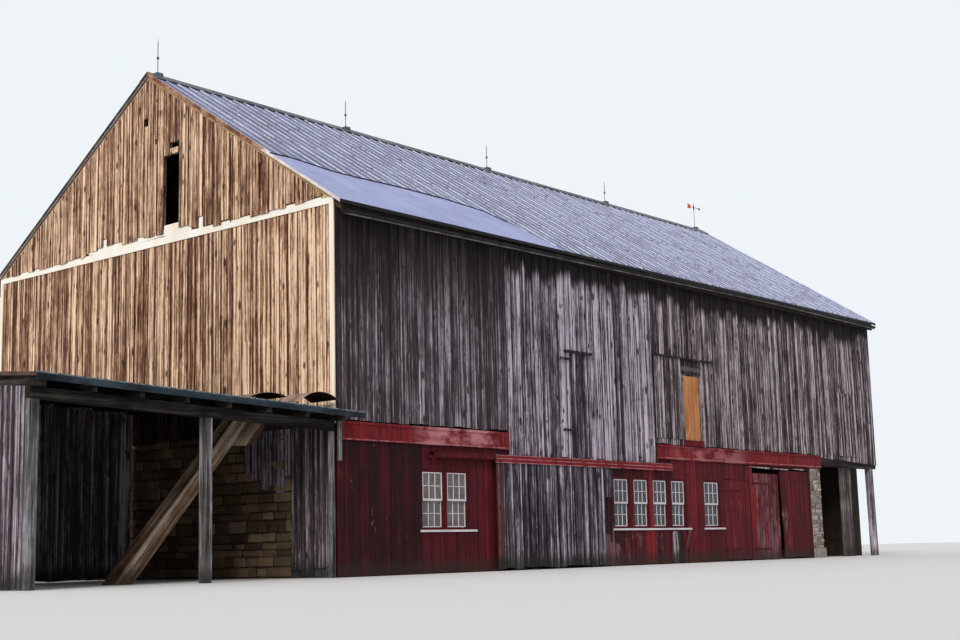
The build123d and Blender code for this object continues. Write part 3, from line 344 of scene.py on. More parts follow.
def gable_boards(name, wall_name, seed, turned):
    """A gable's boards, the upper ones lapped over the cream band on the lower ones."""
    def mirrored(hole):
        return (*from_front(turned, *hole[:2]), *hole[2:])

    def depth_of(across):
        return across if turned else WIDTH - across

    def foot(across):
        raised = RAISED_FOOT[0] < depth_of(across) < RAISED_FOOT[1]
        return BAND_TOP + (LAP["foot"] if raised else -LAP["foot"])

    def tone(across, up):
        depth = depth_of(across)
        if up > BAND_TOP:
            return 0.46
        if FOOT_PATCH[0] < depth < FOOT_PATCH[1] + 0.12:
            return 0.9
        return 0.5 + 0.38 * max(0, (SUNLIT_DEPTH - depth) / SUNLIT_DEPTH)

    wall = Boarding(seed, SIDING_FACE)
    wall.spread = 0.24
    wall.tone = tone
    holes = [mirrored(hole) for hole in (SLIT, SLIT_NOTCH, *OPEN_JOINTS)]
    wall.fill(0, WIDTH, SIDING_FOOT, gable_head(UNDER_ROOF), holes, ragged=0.01)
    wall.outer = LAPPED_FACE
    wall.thickness = LAP["thickness"]
    edge = (BAND_TOP - WALL_TOP + LAP["start"]) / SLOPE
    notches = [mirrored(hole) for hole in FOOT_NOTCHES]
    wall.fill(edge, WIDTH - edge, foot, gable_head(LAP["head"]), holes + notches, ragged=0.08)
    wall.board(*mirrored(FOOT_PATCH), outer=PATCH_FACE)
    wall.done(name, wall_name, "barn", "tan_boards", name.replace("_boards", ""))


def band_patches(name, wall_name, turned):
    """White paint that shows above the cream band, where the boards lapped over it end higher."""
    wall = Boarding(27, PATCH_FACE, 0.024)
    for start, end, head in BAND_PATCHES:
        wall.board(*from_front(turned, start, end), BAND_TOP - 0.002, head, bow=0)
    wall.done(name, wall_name, "barn", "cream_paint")


def rear_siding_boards():
    """The rear's boards, from the stone wall to the eave."""
    wall = Boarding(15, SIDING_FACE)
    wall.tone = patches(0.5, (0, 4, 0.42), (9, 13, 0.58))
    wall.fill(0, LENGTH, SIDING_FOOT, SIDING_TOP, ragged=0.05)
    wall.done("rear_siding_boards", "rear", "barn", "grey_boards", "rear_siding")


# The lower front: windows as (start, width), the door rail's cover, and trim, all from the west corner
WINDOW_Z = (0.82, 1.96)
WINDOWS = ((2.19, 0.65), (2.89, 0.65), (8.46, 0.62), (9.24, 0.62), (10.02, 0.62), (10.80, 0.62),
           (12.24, 0.72))
REAR_WINDOWS = (4.2, 10.575, 16.95)
REAR_WINDOW_WIDTH = 0.65
BAND_FOOT = 2.43
RED_HEAD = BAND_FOOT - 0.02
COVER = (4.25, 10.7, 2.274, 2.306)
RED_TONES = ((0, 0.9, 0.05), (0.9, 2.2, 0.12), (2.2, 3.6, 0.42), (3.6, 4.5, 0.47), (7.9, 8.5, 0.15),
             (8.5, 9.8, 0.32), (9.8, 10.05, 0.8), (10.05, 10.8, 0.32), (11.45, 12.25, 0.62),
             (12.25, 13.3, 0.42), (14.4, 14.65, 0.8), (17.6, 17.7, 0.35))
LINTEL_STRIPS = ((14.3, 15.5, 2.325, 2.352, 0.004), (15.62, 16.5, 2.318, 2.342, -0.012),
                 (16.62, 17.35, 2.33, 2.35, 0.006))
HOOD = (2.42, 4.25)


def red_wall_boards():
    """Red boards over the lower front, round its windows and under its bands."""
    def bare(across, up):
        if 7.9 < across < 8.5 and up < 0.5:
            return 0.95
        if 7.9 < across < 11.4 and up < 0.8:
            return 0.52
        if across < 2.2:
            return 0.34
        return 0.12 if across < 4.5 else 0.3

    wall = Boarding(16, RED_FACE, 0.022)
    wall.spread = 0.1
    wall.tone = patches(0.5, *RED_TONES)
    wall.bare = bare
    windows = [(start, start + width, *WINDOW_Z) for start, width in WINDOWS]
    wall.fill(0, 4.45, FLOOR_GAP, BAND_FOOT, windows + [COVER])
    wall.fill(7.95, 10.2, FLOOR_GAP, COVER[2], windows)
    wall.fill(10.2, 13.2, FLOOR_GAP, RED_HEAD, windows + [COVER])
    wall.fill(13.2, 14.45, 2.0, RED_HEAD, ragged=0.01)
    wall.fill(14.45, 14.6, FLOOR_GAP, RED_HEAD, ragged=0.02)
    wall.fill(17.6, 17.7, FLOOR_GAP, RED_HEAD, ragged=0.02)
    wall.done("red_wall_boards", "front", "barn", "red_boards")


def foot_boards():
    """Odd boards nailed over the foot of the red wall under the windows: one pale, and one painted near
    black as painted shade for the dark gap there.
    """
    wall = Boarding(25, -0.034, 0.024)
    # Painted shade: the second board's tone is near black for the dark gap it stands in
    wall.tone = patches(0.78, (11.0, 11.3, -0.6))
    wall.board(10.77, 10.99, FLOOR_GAP, 0.745)
    wall.board(11.0, 11.25, FLOOR_GAP, 0.745, outer=-0.02)
    wall.done("foot_boards", "front", "barn", "grey_boards")


def sill_brace():
    """The slanted bracket under the end of the long sill."""
    wall = Boarding(26, -0.075, 0.045)
    wall.tone = everywhere(0.7)
    wall.bare = everywhere(0.8)
    wall.board(11.44, 11.5, 0.36, 0.775, lean=(-0.17, -0.17), bow=0)
    wall.done("sill_brace", "front", "barn", "red_boards")


def lintel_strips():
    """Broken strips of pale board left under the band over the red doors."""
    wall = Boarding(28, -0.036, 0.02)
    wall.tone = everywhere(0.9)
    for start, end, low, high, slant in LINTEL_STRIPS:
        wall.board(start, end, lambda across: low + (across - start) * slant,
                   lambda across: high + (across - start) * slant, bow=0)
    wall.done("lintel_strips", "front", "barn", "grey_boards")


def rail_hood():
    """The thin cover over the bare west end of the door rail, with its top board."""
    wall = Boarding(29, -0.15, 0.018)
    wall.tone = everywhere(0.45)
    wall.bare = everywhere(0.3)
    wall.board(*HOOD, 2.196, 2.288, bow=0)
    wall.board(*HOOD, 2.289, 2.305, bow=0, thickness=0.148)
    wall.done("rail_hood", "front", "barn", "red_boards")


# Door leaves
BROKEN_FOOT = (7.97, 1.5)
SLIDING_LEDGE_INSET = 0.18
SWINGING_LEDGE_INSET = 0.26
BRACE = {"inset": 0.16, "width": 0.1}


def ledge_middles(low, high, inset):
    """Heights of a door's three ledges."""
    return low.z + inset, (low.z + high.z) / 2, high.z - inset


def grey_leaf(name, body, node, seed, way):
    """A sliding door's leaf of grey boards, its ledges and brace behind them; way is the brace's."""
    low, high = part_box(node)
    wall = Boarding(seed, SLIDING_FACE, 0.024)
    wall.spread = 0.22
    wall.tone = patches(0.16, (4.55, 6.2, 0.2), (6.2, 8.3, 0.28))
    start, end = low.x - WEST, high.x - WEST
    holes = [(BROKEN_FOOT[0], end, 0, BROKEN_FOOT[1])] if end > BROKEN_FOOT[0] else []
    wall.fill(start, end, low.z, high.z, holes, ragged=0.04)
    middles = ledge_middles(low, high, SLIDING_LEDGE_INSET)
    for middle in middles:
        stop = end - LEDGE["inset"]
        if middle < BROKEN_FOOT[1]:
            stop = min(stop, BROKEN_FOOT[0])
        wall.ledge(start + LEDGE["inset"], stop, middle, SLIDING_LEDGE_FACE)
    near, far = start + BRACE["inset"], end - BRACE["inset"] - BRACE["width"]
    if way == -1:
        near, far = min(end, BROKEN_FOOT[0]) - BRACE["inset"] - BRACE["width"], near
    wall.board(far, far + BRACE["width"], middles[0] + LEDGE["half"], middles[1] - LEDGE["half"],
               lean=(near - far, near - far), bow=0, outer=SLIDING_LEDGE_FACE, thickness=LEDGE["thickness"])
    wall.done(name, "front", body, "grey_boards", node)


def red_leaf(name, body, node, seed, slope_edge=0, bare=0.5, tone=0.5):
    """A swinging door's leaf of red boards; a leaf with a slanted free edge has leaning boards."""
    low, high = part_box(node)
    wall = Boarding(seed, 0.0, 0.024)
    start, end = low.x - WEST, high.x - WEST
    wall.tone = everywhere(tone)
    wall.bare = everywhere(bare)
    count = max(3, round((end - start) / BOARD["width"]))
    edges = [start + (end - start) * number / count for number in range(count + 1)]
    for number, (left, right) in enumerate(zip(edges, edges[1:])):
        lean = (slope_edge * (1 - number / count), slope_edge * (1 - (number + 1) / count))
        foot = low.z + wall.chance.uniform(0, 0.025)
        wall.board(left + 0.003, right - 0.003, foot, high.z, lean=lean, bow=0.0005)
    for middle in ledge_middles(low, high, SWINGING_LEDGE_INSET):
        wall.ledge(start + LEDGE["inset"] + slope_edge, end - LEDGE["inset"], middle, SWINGING_LEDGE_FACE)
    wall.done(name, "front", body, "red_boards", node)


# Shed walls, and the boards on the barn's wall inside it
CORNER_STRIPS = ((2.5, 2.28, 1.95), (2.27, 2.03, 1.8), (2.02, 1.8, 1.62), (1.79, 1.6, 1.7),
                 (1.59, 1.36, 1.55), (1.35, 1.21, 1.86))
BOARDED_CORNER = 1.2


def shed_head(drop):
    """Height under the shed roof's top at a place from the west gable and a depth from the front."""
    def head(from_west, depth):
        return SHED_CORNER - from_west * SHED_FALL + (depth + SHED_OVERHANG) * SHED_RISE - drop
    return head


def shed_wall_boards():
    """The shed's west and rear walls of upright boards, with level ones behind the rafters' ends."""
    under = shed_head(SHED_SHEET + SHED_RAFTER + 0.002)
    side = Boarding(21, 0.0)
    side.tone = everywhere(0.4)
    side.fill(0, SHED_DEPTH - 0.15, 0.01, lambda across: under(SHED_WEST, SHED_DEPTH - across))
    west = joined(side.pieces, "shed_side", -90, (WEST + SHED_WEST, FRONT + SHED_DEPTH, 0))
    back = Boarding(22, 0.0)
    back.tone = everywhere(0.4)
    length = -SHED_WEST + SHED_EAST
    back.fill(0.001, length, 0.01, lambda across: under(SHED_EAST - across, SHED_DEPTH))
    low, high = shed_head(0.27), shed_head(SHED_SHEET + 0.004)
    lying = {"bow": 0, "outer": -0.022, "thickness": 0.02}
    for number in range(3):
        start = 0.001 + length * number / 3
        back.board(start, start + length / 3 - 0.005, lambda across: low(SHED_EAST - across, SHED_DEPTH),
                   lambda across: high(SHED_EAST - across, SHED_DEPTH), **lying)
    rear = joined(back.pieces, "shed_back", 180, (WEST + SHED_EAST, FRONT + SHED_DEPTH, 0))
    settle(joined([west, rear], "shed_wall_boards", 0, (0, 0, 0)), "barn", "grey_boards", "shed_walls")


def corner_boards():
    """Ragged boards on the west wall inside the shed, beside and over the stone."""
    wall = Boarding(23, -0.026, 0.024)
    wall.tone = patches(0.45, (WIDTH - BOARDED_CORNER, WIDTH, 0.35))
    wall.fill(WIDTH - BOARDED_CORNER, WIDTH - 0.12, 0.02, SIDING_FOOT - 0.01, ragged=0.25)
    for left, right, low in CORNER_STRIPS:
        wall.board(WIDTH - left, WIDTH - right, low, SIDING_FOOT - 0.01)
    wall.done("corner_boards", "west", "barn", "grey_boards")


# Stone walls and the pier
PIER = {"start": 17.7, "width": 0.6, "depth": 0.9, "top": 2.47, "plinth": 0.27}


def stretched(places, size, first, last):
    """Places along a block's side: the near half stays at the first end, the far half at the last."""
    return np.where(places < size / 2, first + places, last - size + places)


class Rubble:
    """Stones laid in rough courses on one wall, standing a little out of its mortar."""

    def __init__(self, seed):
        self.chance = random.Random(seed)
        self.pieces = []

    def stone(self, left, right, low, high, outer):
        """One stone fitted between its neighbours."""
        draw = self.chance.uniform
        shape = STONE_MASTER.points
        across = stretched(shape[:, 0], STONE["length"], left, right)
        up = stretched(shape[:, 2], STONE["height"], low, high)
        jitter = np.array([[draw(-0.011, 0.011) for _ in range(3)] for _ in shape])
        points = np.stack([across, outer + shape[:, 1], up], axis=1)
        points = points + jitter * np.where(shape[:, 1:2] < STONE["depth"] / 2, 1, 0.2)
        tint = np.ones((len(shape), 4))
        tint[:, 0] = draw(0, 1)
        tint[:, 1] = draw(0.3, 0.7)
        tint[:, 2] = draw(0, 1)
        self.pieces.append(STONE_MASTER.copy(points, tint))

    def lay(self, start, end, foot, top, openings=(), heights=(0.13, 0.27), lengths=(0.22, 0.58)):
        """Courses of stones from foot to top, left out where an opening is."""
        draw = self.chance.uniform
        low = foot
        while low < top - 0.05:
            high = min(top, low + draw(*heights))
            if top - high < heights[0] * 0.7:
                high = top
            crossed = [(a, b) for a, b, z0, z1 in openings if low < z1 and high > z0]
            marks = sorted({start, end} | {mark for hole in crossed for mark in hole})
            for near, far in zip(marks, marks[1:]):
                if any(a < (near + far) / 2 < b for a, b in crossed):
                    continue
                edge = near
                while edge < far - 0.02:
                    following = min(far, edge + draw(*lengths))
                    if far - following < lengths[0] * 0.6:
                        following = far
                    mortar = draw(0.004, 0.012)
                    ends = (edge + mortar, following - mortar)
                    self.stone(*ends, low + mortar, high - mortar, -draw(0.008, 0.024))
                    edge = following
            low = high


def stone_wall(name, wall_name, seed, start, end, openings=()):
    """The stones of one wall of the lower storey."""
    rubble = Rubble(seed)
    rubble.lay(start, end, 0.02, SIDING_FOOT - 0.008, openings)
    settle(joined(rubble.pieces, name, *WALLS[wall_name]), "barn", "rubble_stone")


def pier_stones():
    """Small pale stones on the pier's front and on its east side."""
    sizes = {"heights": (0.06, 0.15), "lengths": (0.08, 0.22)}
    start, end = PIER["start"], PIER["start"] + PIER["width"]
    front = Rubble(31)
    front.lay(start + 0.01, end - 0.01, PIER["plinth"], BAND_FOOT - 0.03, **sizes)
    side = Rubble(32)
    side.lay(0.01, PIER["depth"] - 0.01, PIER["plinth"], PIER["top"], **sizes)
    faces = [joined(front.pieces, "pier_front", 0, (WEST, FRONT, 0)),
             joined(side.pieces, "pier_side", 90, (WEST + end, FRONT, 0))]
    settle(joined(faces, "pier_stones", 0, (0, 0, 0)), "barn", "whitewashed_stone")


# Roof ribs, and the torn lip of the old sheets over the smooth ones
ROOF_SHEET = 0.06
RIB_SINK = 0.002
LIP_LIFT = 0.004
CAP_REACH = 0.26
EAVE_REACH = 0.25
SMOOTH_EDGE = ((-0.12, 1.64), (0.45, 1.68), (1.4, 1.43), (2.3, 1.47), (3.3, 1.53), (4.7, 1.49),
               (5.85, 1.25), (6.7, -0.25))


def smooth_foot(across):
    """Depth of the smooth sheets' upper edge at a place along the roof, or of the eave past them."""
    for (near, first), (far, last) in zip(SMOOTH_EDGE, SMOOTH_EDGE[1:]):
        if near <= across <= far:
            return first + (last - first) * (across - near) / (far - near)
    return -EAVE_REACH


def on_roof(depth):
    """Height of the sheets' upper face at a depth from the front, on either slope."""
    return WALL_TOP + np.minimum(depth, WIDTH - depth) * SLOPE + ROOF_SHEET


def roof_ribs():
    """Low ribs halfway between the roof's seams, and the torn lip along the smooth sheets' edge."""
    rib = Master("rib", (SEAM["width"], 1, SEAM["height"]), SEAM["ease"],
                 lambda way, middle: abs(way.y) > 0.9 and middle.z > 0.01)
    shape = rib.points
    ribs, lips = [], []
    place = SEAM["start"] + SEAM["pitch"] / 2
    while place < LENGTH + 0.1:
        foot = max(smooth_foot(place), smooth_foot(place + SEAM["width"]))
        for near, far in ((foot, WIDTH / 2 - CAP_REACH), (WIDTH + EAVE_REACH, WIDTH / 2 + CAP_REACH)):
            across = place + (shape[:, 0] if far < WIDTH / 2 else SEAM["width"] - shape[:, 0])
            depth = near + shape[:, 1] * (far - near)
            up = on_roof(depth) + shape[:, 2] - RIB_SINK
            ribs.append(rib.copy(np.stack([across, depth, up], axis=1)))
        place += SEAM["pitch"]
    chance = random.Random(51)
    near = SMOOTH_EDGE[0][0]
    while near < SMOOTH_EDGE[-2][0]:
        far = near + chance.uniform(0.12, 0.34)
        drop = chance.uniform(0.01, 0.05)
        across = near + shape[:, 1] * (far - near)
        edge = np.array([smooth_foot(a) for a in across])
        depth = edge - drop + (1 - shape[:, 0] / SEAM["width"]) * (drop + 0.02)
        up = on_roof(depth) + LIP_LIFT + shape[:, 2] * 0.8
        lips.append(rib.copy(np.stack([across, depth, up], axis=1)))
        near = far
    rib.remove()
    for pieces, name in ((ribs, "roof_ribs"), (lips, "sheet_lip")):
        settle(joined(pieces, name, 0, (WEST, FRONT, 0)), "barn", "roof_metal")


# Window bars: the upper sash stands before the lower one
SASH_STILE = 0.07
SASH_RAIL = 0.042
SASH_MEET = 0.021
SASH_EDGE = 0.028
SASH_FACES = (0.015, 0.047)
TILTED_WINDOW = {"start": 10.80, "tilt": 2.5}


def window_bars():
    """Bars that part each sash into six panes, front and rear."""
    bar = Master("bar", (BAR["width"], BAR["depth"], 1), BAR["ease"],
                 lambda way, middle: middle.y < BAR["depth"] / 2 and abs(way.z) > 0.9)
    half = BAR["width"] / 2
    made = []

    def rod(left, right, low, high, face, inward, lying):
        points = bar.points[:, [2, 1, 0]] if lying else bar.points.copy()
        points = points / points.max(axis=0) * np.array([right - left, BAR["depth"], high - low])
        points[:, 0] += left
        points[:, 1] = face + inward * points[:, 1]
        points[:, 2] += low
        made.append(bar.copy(points))

    def sash(start, width, low, high, face, inward, tilt=0):
        first = len(made)
        near, far = start + SASH_STILE, start + width - SASH_STILE
        foot, head = low + SASH_RAIL, high - SASH_RAIL
        for number in (1, 2):
            place = near + (far - near) * number / 3
            rod(place - half, place + half, foot, head, face, inward, False)
        middle = (foot + head) / 2
        rod(near, far, middle - half, middle + half, face, inward, True)
        centre = Vector((start + width / 2, 0, (low + high) / 2))
        turn = Matrix.Translation(centre) @ Matrix.Rotation(math.radians(tilt), 4, "Y")
        turn = turn @ Matrix.Translation(-centre)
        for piece in made[first:] if tilt else ():
            piece.data.transform(turn)

    middle = sum(WINDOW_Z) / 2
    upper = (middle - SASH_MEET, WINDOW_Z[1] - SASH_EDGE, SASH_FACES[0])
    lower = (WINDOW_Z[0] + SASH_EDGE, middle + SASH_MEET, SASH_FACES[1])
    for start, width in WINDOWS:
        sash(start, width, *upper, 1)
        sash(start, width, *lower, 1, TILTED_WINDOW["tilt"] if start == TILTED_WINDOW["start"] else 0)
    for start in REAR_WINDOWS:
        for low, high, depth in (upper, lower):
            sash(start, REAR_WINDOW_WIDTH, low, high, WIDTH - depth, -1)
    piece = joined(made, "window_bars", 0, (WEST, FRONT, 0))
    bpy.ops.object.mode_set(mode="EDIT")
    bpy.ops.mesh.select_all(action="SELECT")
    bpy.ops.mesh.normals_make_consistent(inside=False)
    bpy.ops.object.mode_set(mode="OBJECT")
    bar.remove()
    settle(piece, "barn", "white_paint")


# Building materials a node at a time
class Field:
    """A number or colour that changes over the surface; sums and products of it become math nodes."""

    def __init__(self, tree, socket):
        self.tree = tree
        self.socket = socket

    def calc(self, operation, *others):
        """This value and others through a math node."""
        return grown(self.tree, "ShaderNodeMath", dict(enumerate((self, *others))), operation=operation)

    def __add__(self, other):
        return self.calc("ADD", other)

    def __sub__(self, other):
        return self.calc("SUBTRACT", other)

    def __rsub__(self, other):
        return self.calc("MULTIPLY_ADD", -1.0, other)

    def __mul__(self, other):
        return self.calc("MULTIPLY", other)

    def __truediv__(self, other):
        return self.calc("DIVIDE", other)

    def __abs__(self):
        return self.calc("ABSOLUTE")

    def __gt__(self, limit):
        return self.calc("GREATER_THAN", limit)

    def __lt__(self, limit):
        return self.calc("LESS_THAN", limit)

    __radd__ = __add__
    __rmul__ = __mul__

    def near(self, middle, half):
        """One where the value is within half of a middle."""
        return self.calc("COMPARE", middle, half)

    def run(self, low, high, first=0.0, last=1.0):
        """A smooth run from first to last while the value goes from low to high."""
        inputs = {"Value": self, "From Min": low, "From Max": high, "To Min": first, "To Max": last}
        return grown(self.tree, "ShaderNodeMapRange", inputs, interpolation_type="SMOOTHSTEP")


def put(tree, kind, inputs=None, **settings):
    """Add a node; each input takes a value, a colour or a field."""
    made = tree.nodes.new(kind)
    for name, value in settings.items():
        setattr(made, name, value)
    for key, value in (inputs or {}).items():
        if isinstance(value, Field):
            tree.links.new(value.socket, made.inputs[key])
        else:
            made.inputs[key].default_value = value
    return made


def grown(tree, kind, inputs=None, output=0, **settings):
    """One output of a new node, as a field."""
    return Field(tree, put(tree, kind, inputs, **settings).outputs[output])


def larger(first, *others):
    """The largest of some fields."""
    for other in others:
        first = first.calc("MAXIMUM", other)
    return first


def opaque(colour):
    """A colour of three parts with the fourth that a socket wants; a field stays as it is."""
    return colour if isinstance(colour, Field) else (*colour, 1)


def darker(colour, share):
    """A colour brought down to a share of itself."""
    return tuple(part * share for part in colour)


def blend(share, first, last, kind="MIX"):
    """One colour turned towards another by a share."""
    inputs = {"Factor": share, 6: opaque(first), 7: opaque(last)}
    return grown(share.tree, "ShaderNodeMix", inputs, 2, data_type="RGBA", blend_type=kind)


def shades(value, *stops):
    """A colour read from a row of (place, colour) stops."""
    ramp = put(value.tree, "ShaderNodeValToRGB", {"Fac": value})
    row = ramp.color_ramp.elements
    while len(row) < len(stops):
        row.new(0.5)
    for element, (place, colour) in zip(row, stops):
        element.position = place
        element.color = opaque(colour)
    return Field(value.tree, ramp.outputs[0])


def tones(value, dark, middle, light):
    """A colour from dark through a middle tone to light, as a value goes from nought to one."""
    return shades(value, (0.0, dark), (0.5, middle), (1.0, light))


def noise(places, scale, detail=4, rough=0.55, stretch=(1, 1, 1)):
    """Cloudy values over stretched places."""
    sizes = [scale * share for share in stretch]
    scaled = grown(places.tree, "ShaderNodeMapping", {"Vector": places, "Scale": sizes})
    inputs = {"Vector": scaled, "Scale": 1.0, "Detail": detail, "Roughness": rough}
    return grown(places.tree, "ShaderNodeTexNoise", inputs)


def vector_math(operation, first, second):
    """Two vectors through a vector math node."""
    return grown(first.tree, "ShaderNodeVectorMath", {0: first, 1: second}, operation=operation)


def object_places(tree):
    """Places on the barn, in metres."""
    return grown(tree, "ShaderNodeTexCoord", output="Object")


def parts(whole, kind="ShaderNodeSeparateXYZ"):
    """The three parts of a vector, or of a colour when kind says so."""
    node = put(whole.tree, kind, {0: whole})
    return [Field(whole.tree, node.outputs[number]) for number in range(3)]


def channels(colour):
    """The red, green and blue of a colour."""
    return parts(colour, "ShaderNodeSeparateColor")


def facing_up(tree):
    """How far the surface faces up, from minus one to one."""
    return parts(grown(tree, "ShaderNodeNewGeometry", output="Normal"))[2]


# Effects that several finishes share, each built once as a node group
def plank_grain(tree, board):
    """Grain of sawn softwood that has weathered: streaks, bands, flecks, blotches, knots and cracks."""
    shift = grown(tree, "ShaderNodeCombineXYZ", {0: board * 13.7, 1: board * 7.1, 2: board * 91.0})
    places = vector_math("ADD", object_places(tree), shift)
    wander = noise(places, 1.4, 2, 0.5, (1, 1, 0.6)) * 0.014
    bent = vector_math("ADD", places, grown(tree, "ShaderNodeCombineXYZ", {0: wander, 1: wander}))
    streaks = noise(bent, 42, 6, 0.68, (1, 1, 0.014))
    bands = noise(bent, 17, 3, 0.6, (1, 1, 0.013))
    flecks = noise(bent, 24, 4, 0.75, (1, 1, 0.15))
    blotches = noise(places, 2.1, 4, 0.6, (1, 1, 0.7))
    knot_places = grown(tree, "ShaderNodeMapping", {"Vector": bent, "Scale": (5.6, 5.6, 2.4)})
    knots = put(tree, "ShaderNodeTexVoronoi", {"Vector": knot_places, "Scale": 1.0})
    chance = channels(Field(tree, knots.outputs["Color"]))
    rare = chance[0] > 0.3
    size = chance[1] * 0.16 + 0.10
    reach = Field(tree, knots.outputs["Distance"]) + noise(places, 30, 3, 0.6) * 0.16
    heart = (reach - size).run(0.0, 0.14, 1.0, 0.0)
    away = vector_math("SUBTRACT", knot_places, Field(tree, knots.outputs["Position"]))
    flat = vector_math("MULTIPLY", away, (1.5, 1.5, 0.42))
    tail = grown(tree, "ShaderNodeVectorMath", {0: flat}, "Value", operation="LENGTH")
    knot = larger(heart, tail.run(0.05, 0.26, 1.0, 0.0) * 0.6) * rare
    rings = abs(noise(bent, 13, 2, 0.5, (1, 1, 0.012)) - 0.56)
    splits = noise(bent, 120, 3, 0.6, (1, 1, 0.008)).run(0.62, 0.70)
    cracks = larger(splits, rings.run(0.008, 0.045, 0.8, 0.0))
    height = streaks * 0.7 + bands * 0.5 - cracks
    return {"Streaks": streaks, "Bands": bands, "Flecks": flecks, "Blotches": blotches, "Knots": knot,
            "Cracks": cracks, "Height": height}


def board_edge(tree, across):
    """Darkness along both long edges of a board, from its place across."""
    reach = noise(object_places(tree), 6, 3, 0.6, (1, 1, 0.5)) * 0.2 + 0.32
    return {"Edge": abs(across - 0.5).run(reach, 0.46)}


def eave_stain(tree, board, eave, reach):
    """Dark damp stain under the eave that ends at another height on each board."""
    places = object_places(tree)
    cloud = noise(places, 0.8, 3, 0.5, (1, 1, 0.3))
    fingers = noise(places, 22, 3, 0.6, (1, 1, 0.04))
    wild = cloud * 1.1 + fingers * 0.9 + board * 0.7
    down = eave - parts(places)[2]
    return {"Stain": (down - reach * (wild - 0.35)).run(-0.12, 0.14, 1.0, 0.0)}


def paint_loss(tree, bareness):
    """Where old paint has flaked away, in upright islands; bareness runs from whole to stripped."""
    places = object_places(tree)
    wide = noise(places, 5.5, 5, 0.62, (1, 1, 0.28))
    fine = noise(places, 38, 5, 0.7, (1, 1, 0.16))
    return {"Bare": (wide * 0.55 + fine * 0.45 - (0.74 - bareness * 0.38)).run(0.0, 0.03)}


def ground_dirt(tree, reach):
    """Splashed earth and damp that thins out above the ground."""
    places = object_places(tree)
    top = reach * (noise(places, 4.5, 5, 0.6, (1, 1, 0.5)) + 0.4)
    return {"Dirt": (parts(places)[2] - top).run(-0.18, 0.12, 1.0, 0.0)}


def rust(tree, amount):
    """Rust in specks and clouds, and the shade it has; amount runs from clean to mostly rusted."""
    places = object_places(tree)
    whole = noise(places, 1.6, 5, 0.6) * 0.5 + noise(places, 26, 5, 0.75) * 0.5
    return {"Rust": (whole - (0.72 - amount * 0.4)).run(0.0, 0.05), "Shade": noise(places, 60, 3, 0.6)}


def make_group(build, **inputs):
    """A node group whose inputs build turns into outputs by name."""
    tree = bpy.data.node_groups.new(build.__name__, "ShaderNodeTree")
    for title, value in inputs.items():
        socket = tree.interface.new_socket(title, in_out="INPUT", socket_type="NodeSocketFloat")
        socket.default_value = value
    taken = put(tree, "NodeGroupInput")
    results = build(tree, *[Field(tree, taken.outputs[title]) for title in inputs])
    for title in results:
        tree.interface.new_socket(title, in_out="OUTPUT", socket_type="NodeSocketFloat")
    put(tree, "NodeGroupOutput", results)
    return tree


GRAIN = make_group(plank_grain, Board=0.5)
EDGE = make_group(board_edge, Across=0.5)
EAVE = make_group(eave_stain, Board=0.5, Eave=6.7, Reach=0.5)
LOSS = make_group(paint_loss, Bareness=0.3)
DIRT = make_group(ground_dirt, Reach=0.4)
RUST = make_group(rust, Amount=0.3)


class Finish:
    """A material under way: its tree, its Principled shader and what boards and stones tell it."""

    def __init__(self, name, rough=0.85, metal=0.0, gloss=0.12):
        self.material = bpy.data.materials.new(name)
        self.material.use_nodes = True
        self.tree = self.material.node_tree
        self.shader = self.tree.nodes["Principled BSDF"]
        for title, value in (("Roughness", rough), ("Metallic", metal), ("Specular IOR Level", gloss)):
            self.shader.inputs[title].default_value = value
        self.places = object_places(self.tree)
        self.along, self.deep, self.up = parts(self.places)
        self.from_west = self.along - WEST
        self.chance, self.tone, self.bare, self.across = 0.5, 0.5, 0.4, None

    def read_tint(self):
        """Take the chance, tone, bareness and place across of a board or stone."""
        tint = put(self.tree, "ShaderNodeAttribute", attribute_name="tint", attribute_type="GEOMETRY")
        self.chance, self.tone, self.bare = channels(Field(self.tree, tint.outputs["Color"]))
        self.across = Field(self.tree, tint.outputs["Alpha"])

    def noise(self, scale, detail=4, rough=0.55, stretch=(1, 1, 1)):
        """Cloudy values over the piece."""
        return noise(self.places, scale, detail, rough, stretch)

    def group(self, group, **inputs):
        """Place a shared group: its outputs by name."""
        node = put(self.tree, "ShaderNodeGroup", inputs, node_tree=group)
        return {output.name: Field(self.tree, output) for output in node.outputs}

    def soiled(self, colour, reach, share, dirt_colour):
        """A colour with splashed dirt near the ground."""
        return blend(self.group(DIRT, Reach=reach)["Dirt"] * share, colour, dirt_colour)

    def done(self, colour, height=None, strength=0.4, distance=0.004, rough=None):
        """Connect colour, relief and roughness."""
        link = self.tree.links.new
        link(colour.socket, self.shader.inputs["Base Color"])
        if rough is not None:
            link(rough.socket, self.shader.inputs["Roughness"])
        if height is not None:
            relief = {"Strength": strength, "Distance": distance, "Height": height}
            link(grown(self.tree, "ShaderNodeBump", relief).socket, self.shader.inputs["Normal"])
        return self.material


# Board finishes
# GREY and TAN are the same weathered board over their own colour: GREY is painted darker and cooler as
# painted shade, TAN lighter and warmer as painted sunlight
GREY = ((0.022, 0.017, 0.021), (0.145, 0.12, 0.15), (0.60, 0.53, 0.62))
TAN = ((0.085, 0.035, 0.022), (0.41, 0.225, 0.138), (0.97, 0.71, 0.49))
RED = ((0.018, 0.004, 0.006), (0.10, 0.008, 0.014), (0.27, 0.022, 0.026))
UNDER_RED = ((0.05, 0.022, 0.026), (0.19, 0.085, 0.10), (0.42, 0.27, 0.29))
# A dark brown that is both the real damp stain under the eave and painted shade inside the shed
STAIN_AND_SHADE_BROWN = (0.011, 0.0075, 0.008)
WEST_BROWN = (0.078, 0.056, 0.052)
WARM_GREY = (1.0, 0.94, 0.82)
DAMP_GREEN = (0.018, 0.021, 0.016)
FADED_PINK = (0.56, 0.24, 0.26)
# Pink of the painted highlight along the red bands' lower edges
EDGE_HIGHLIGHT_PINK = (0.44, 0.20, 0.22)
WEST_END = (4.7, 4.95)


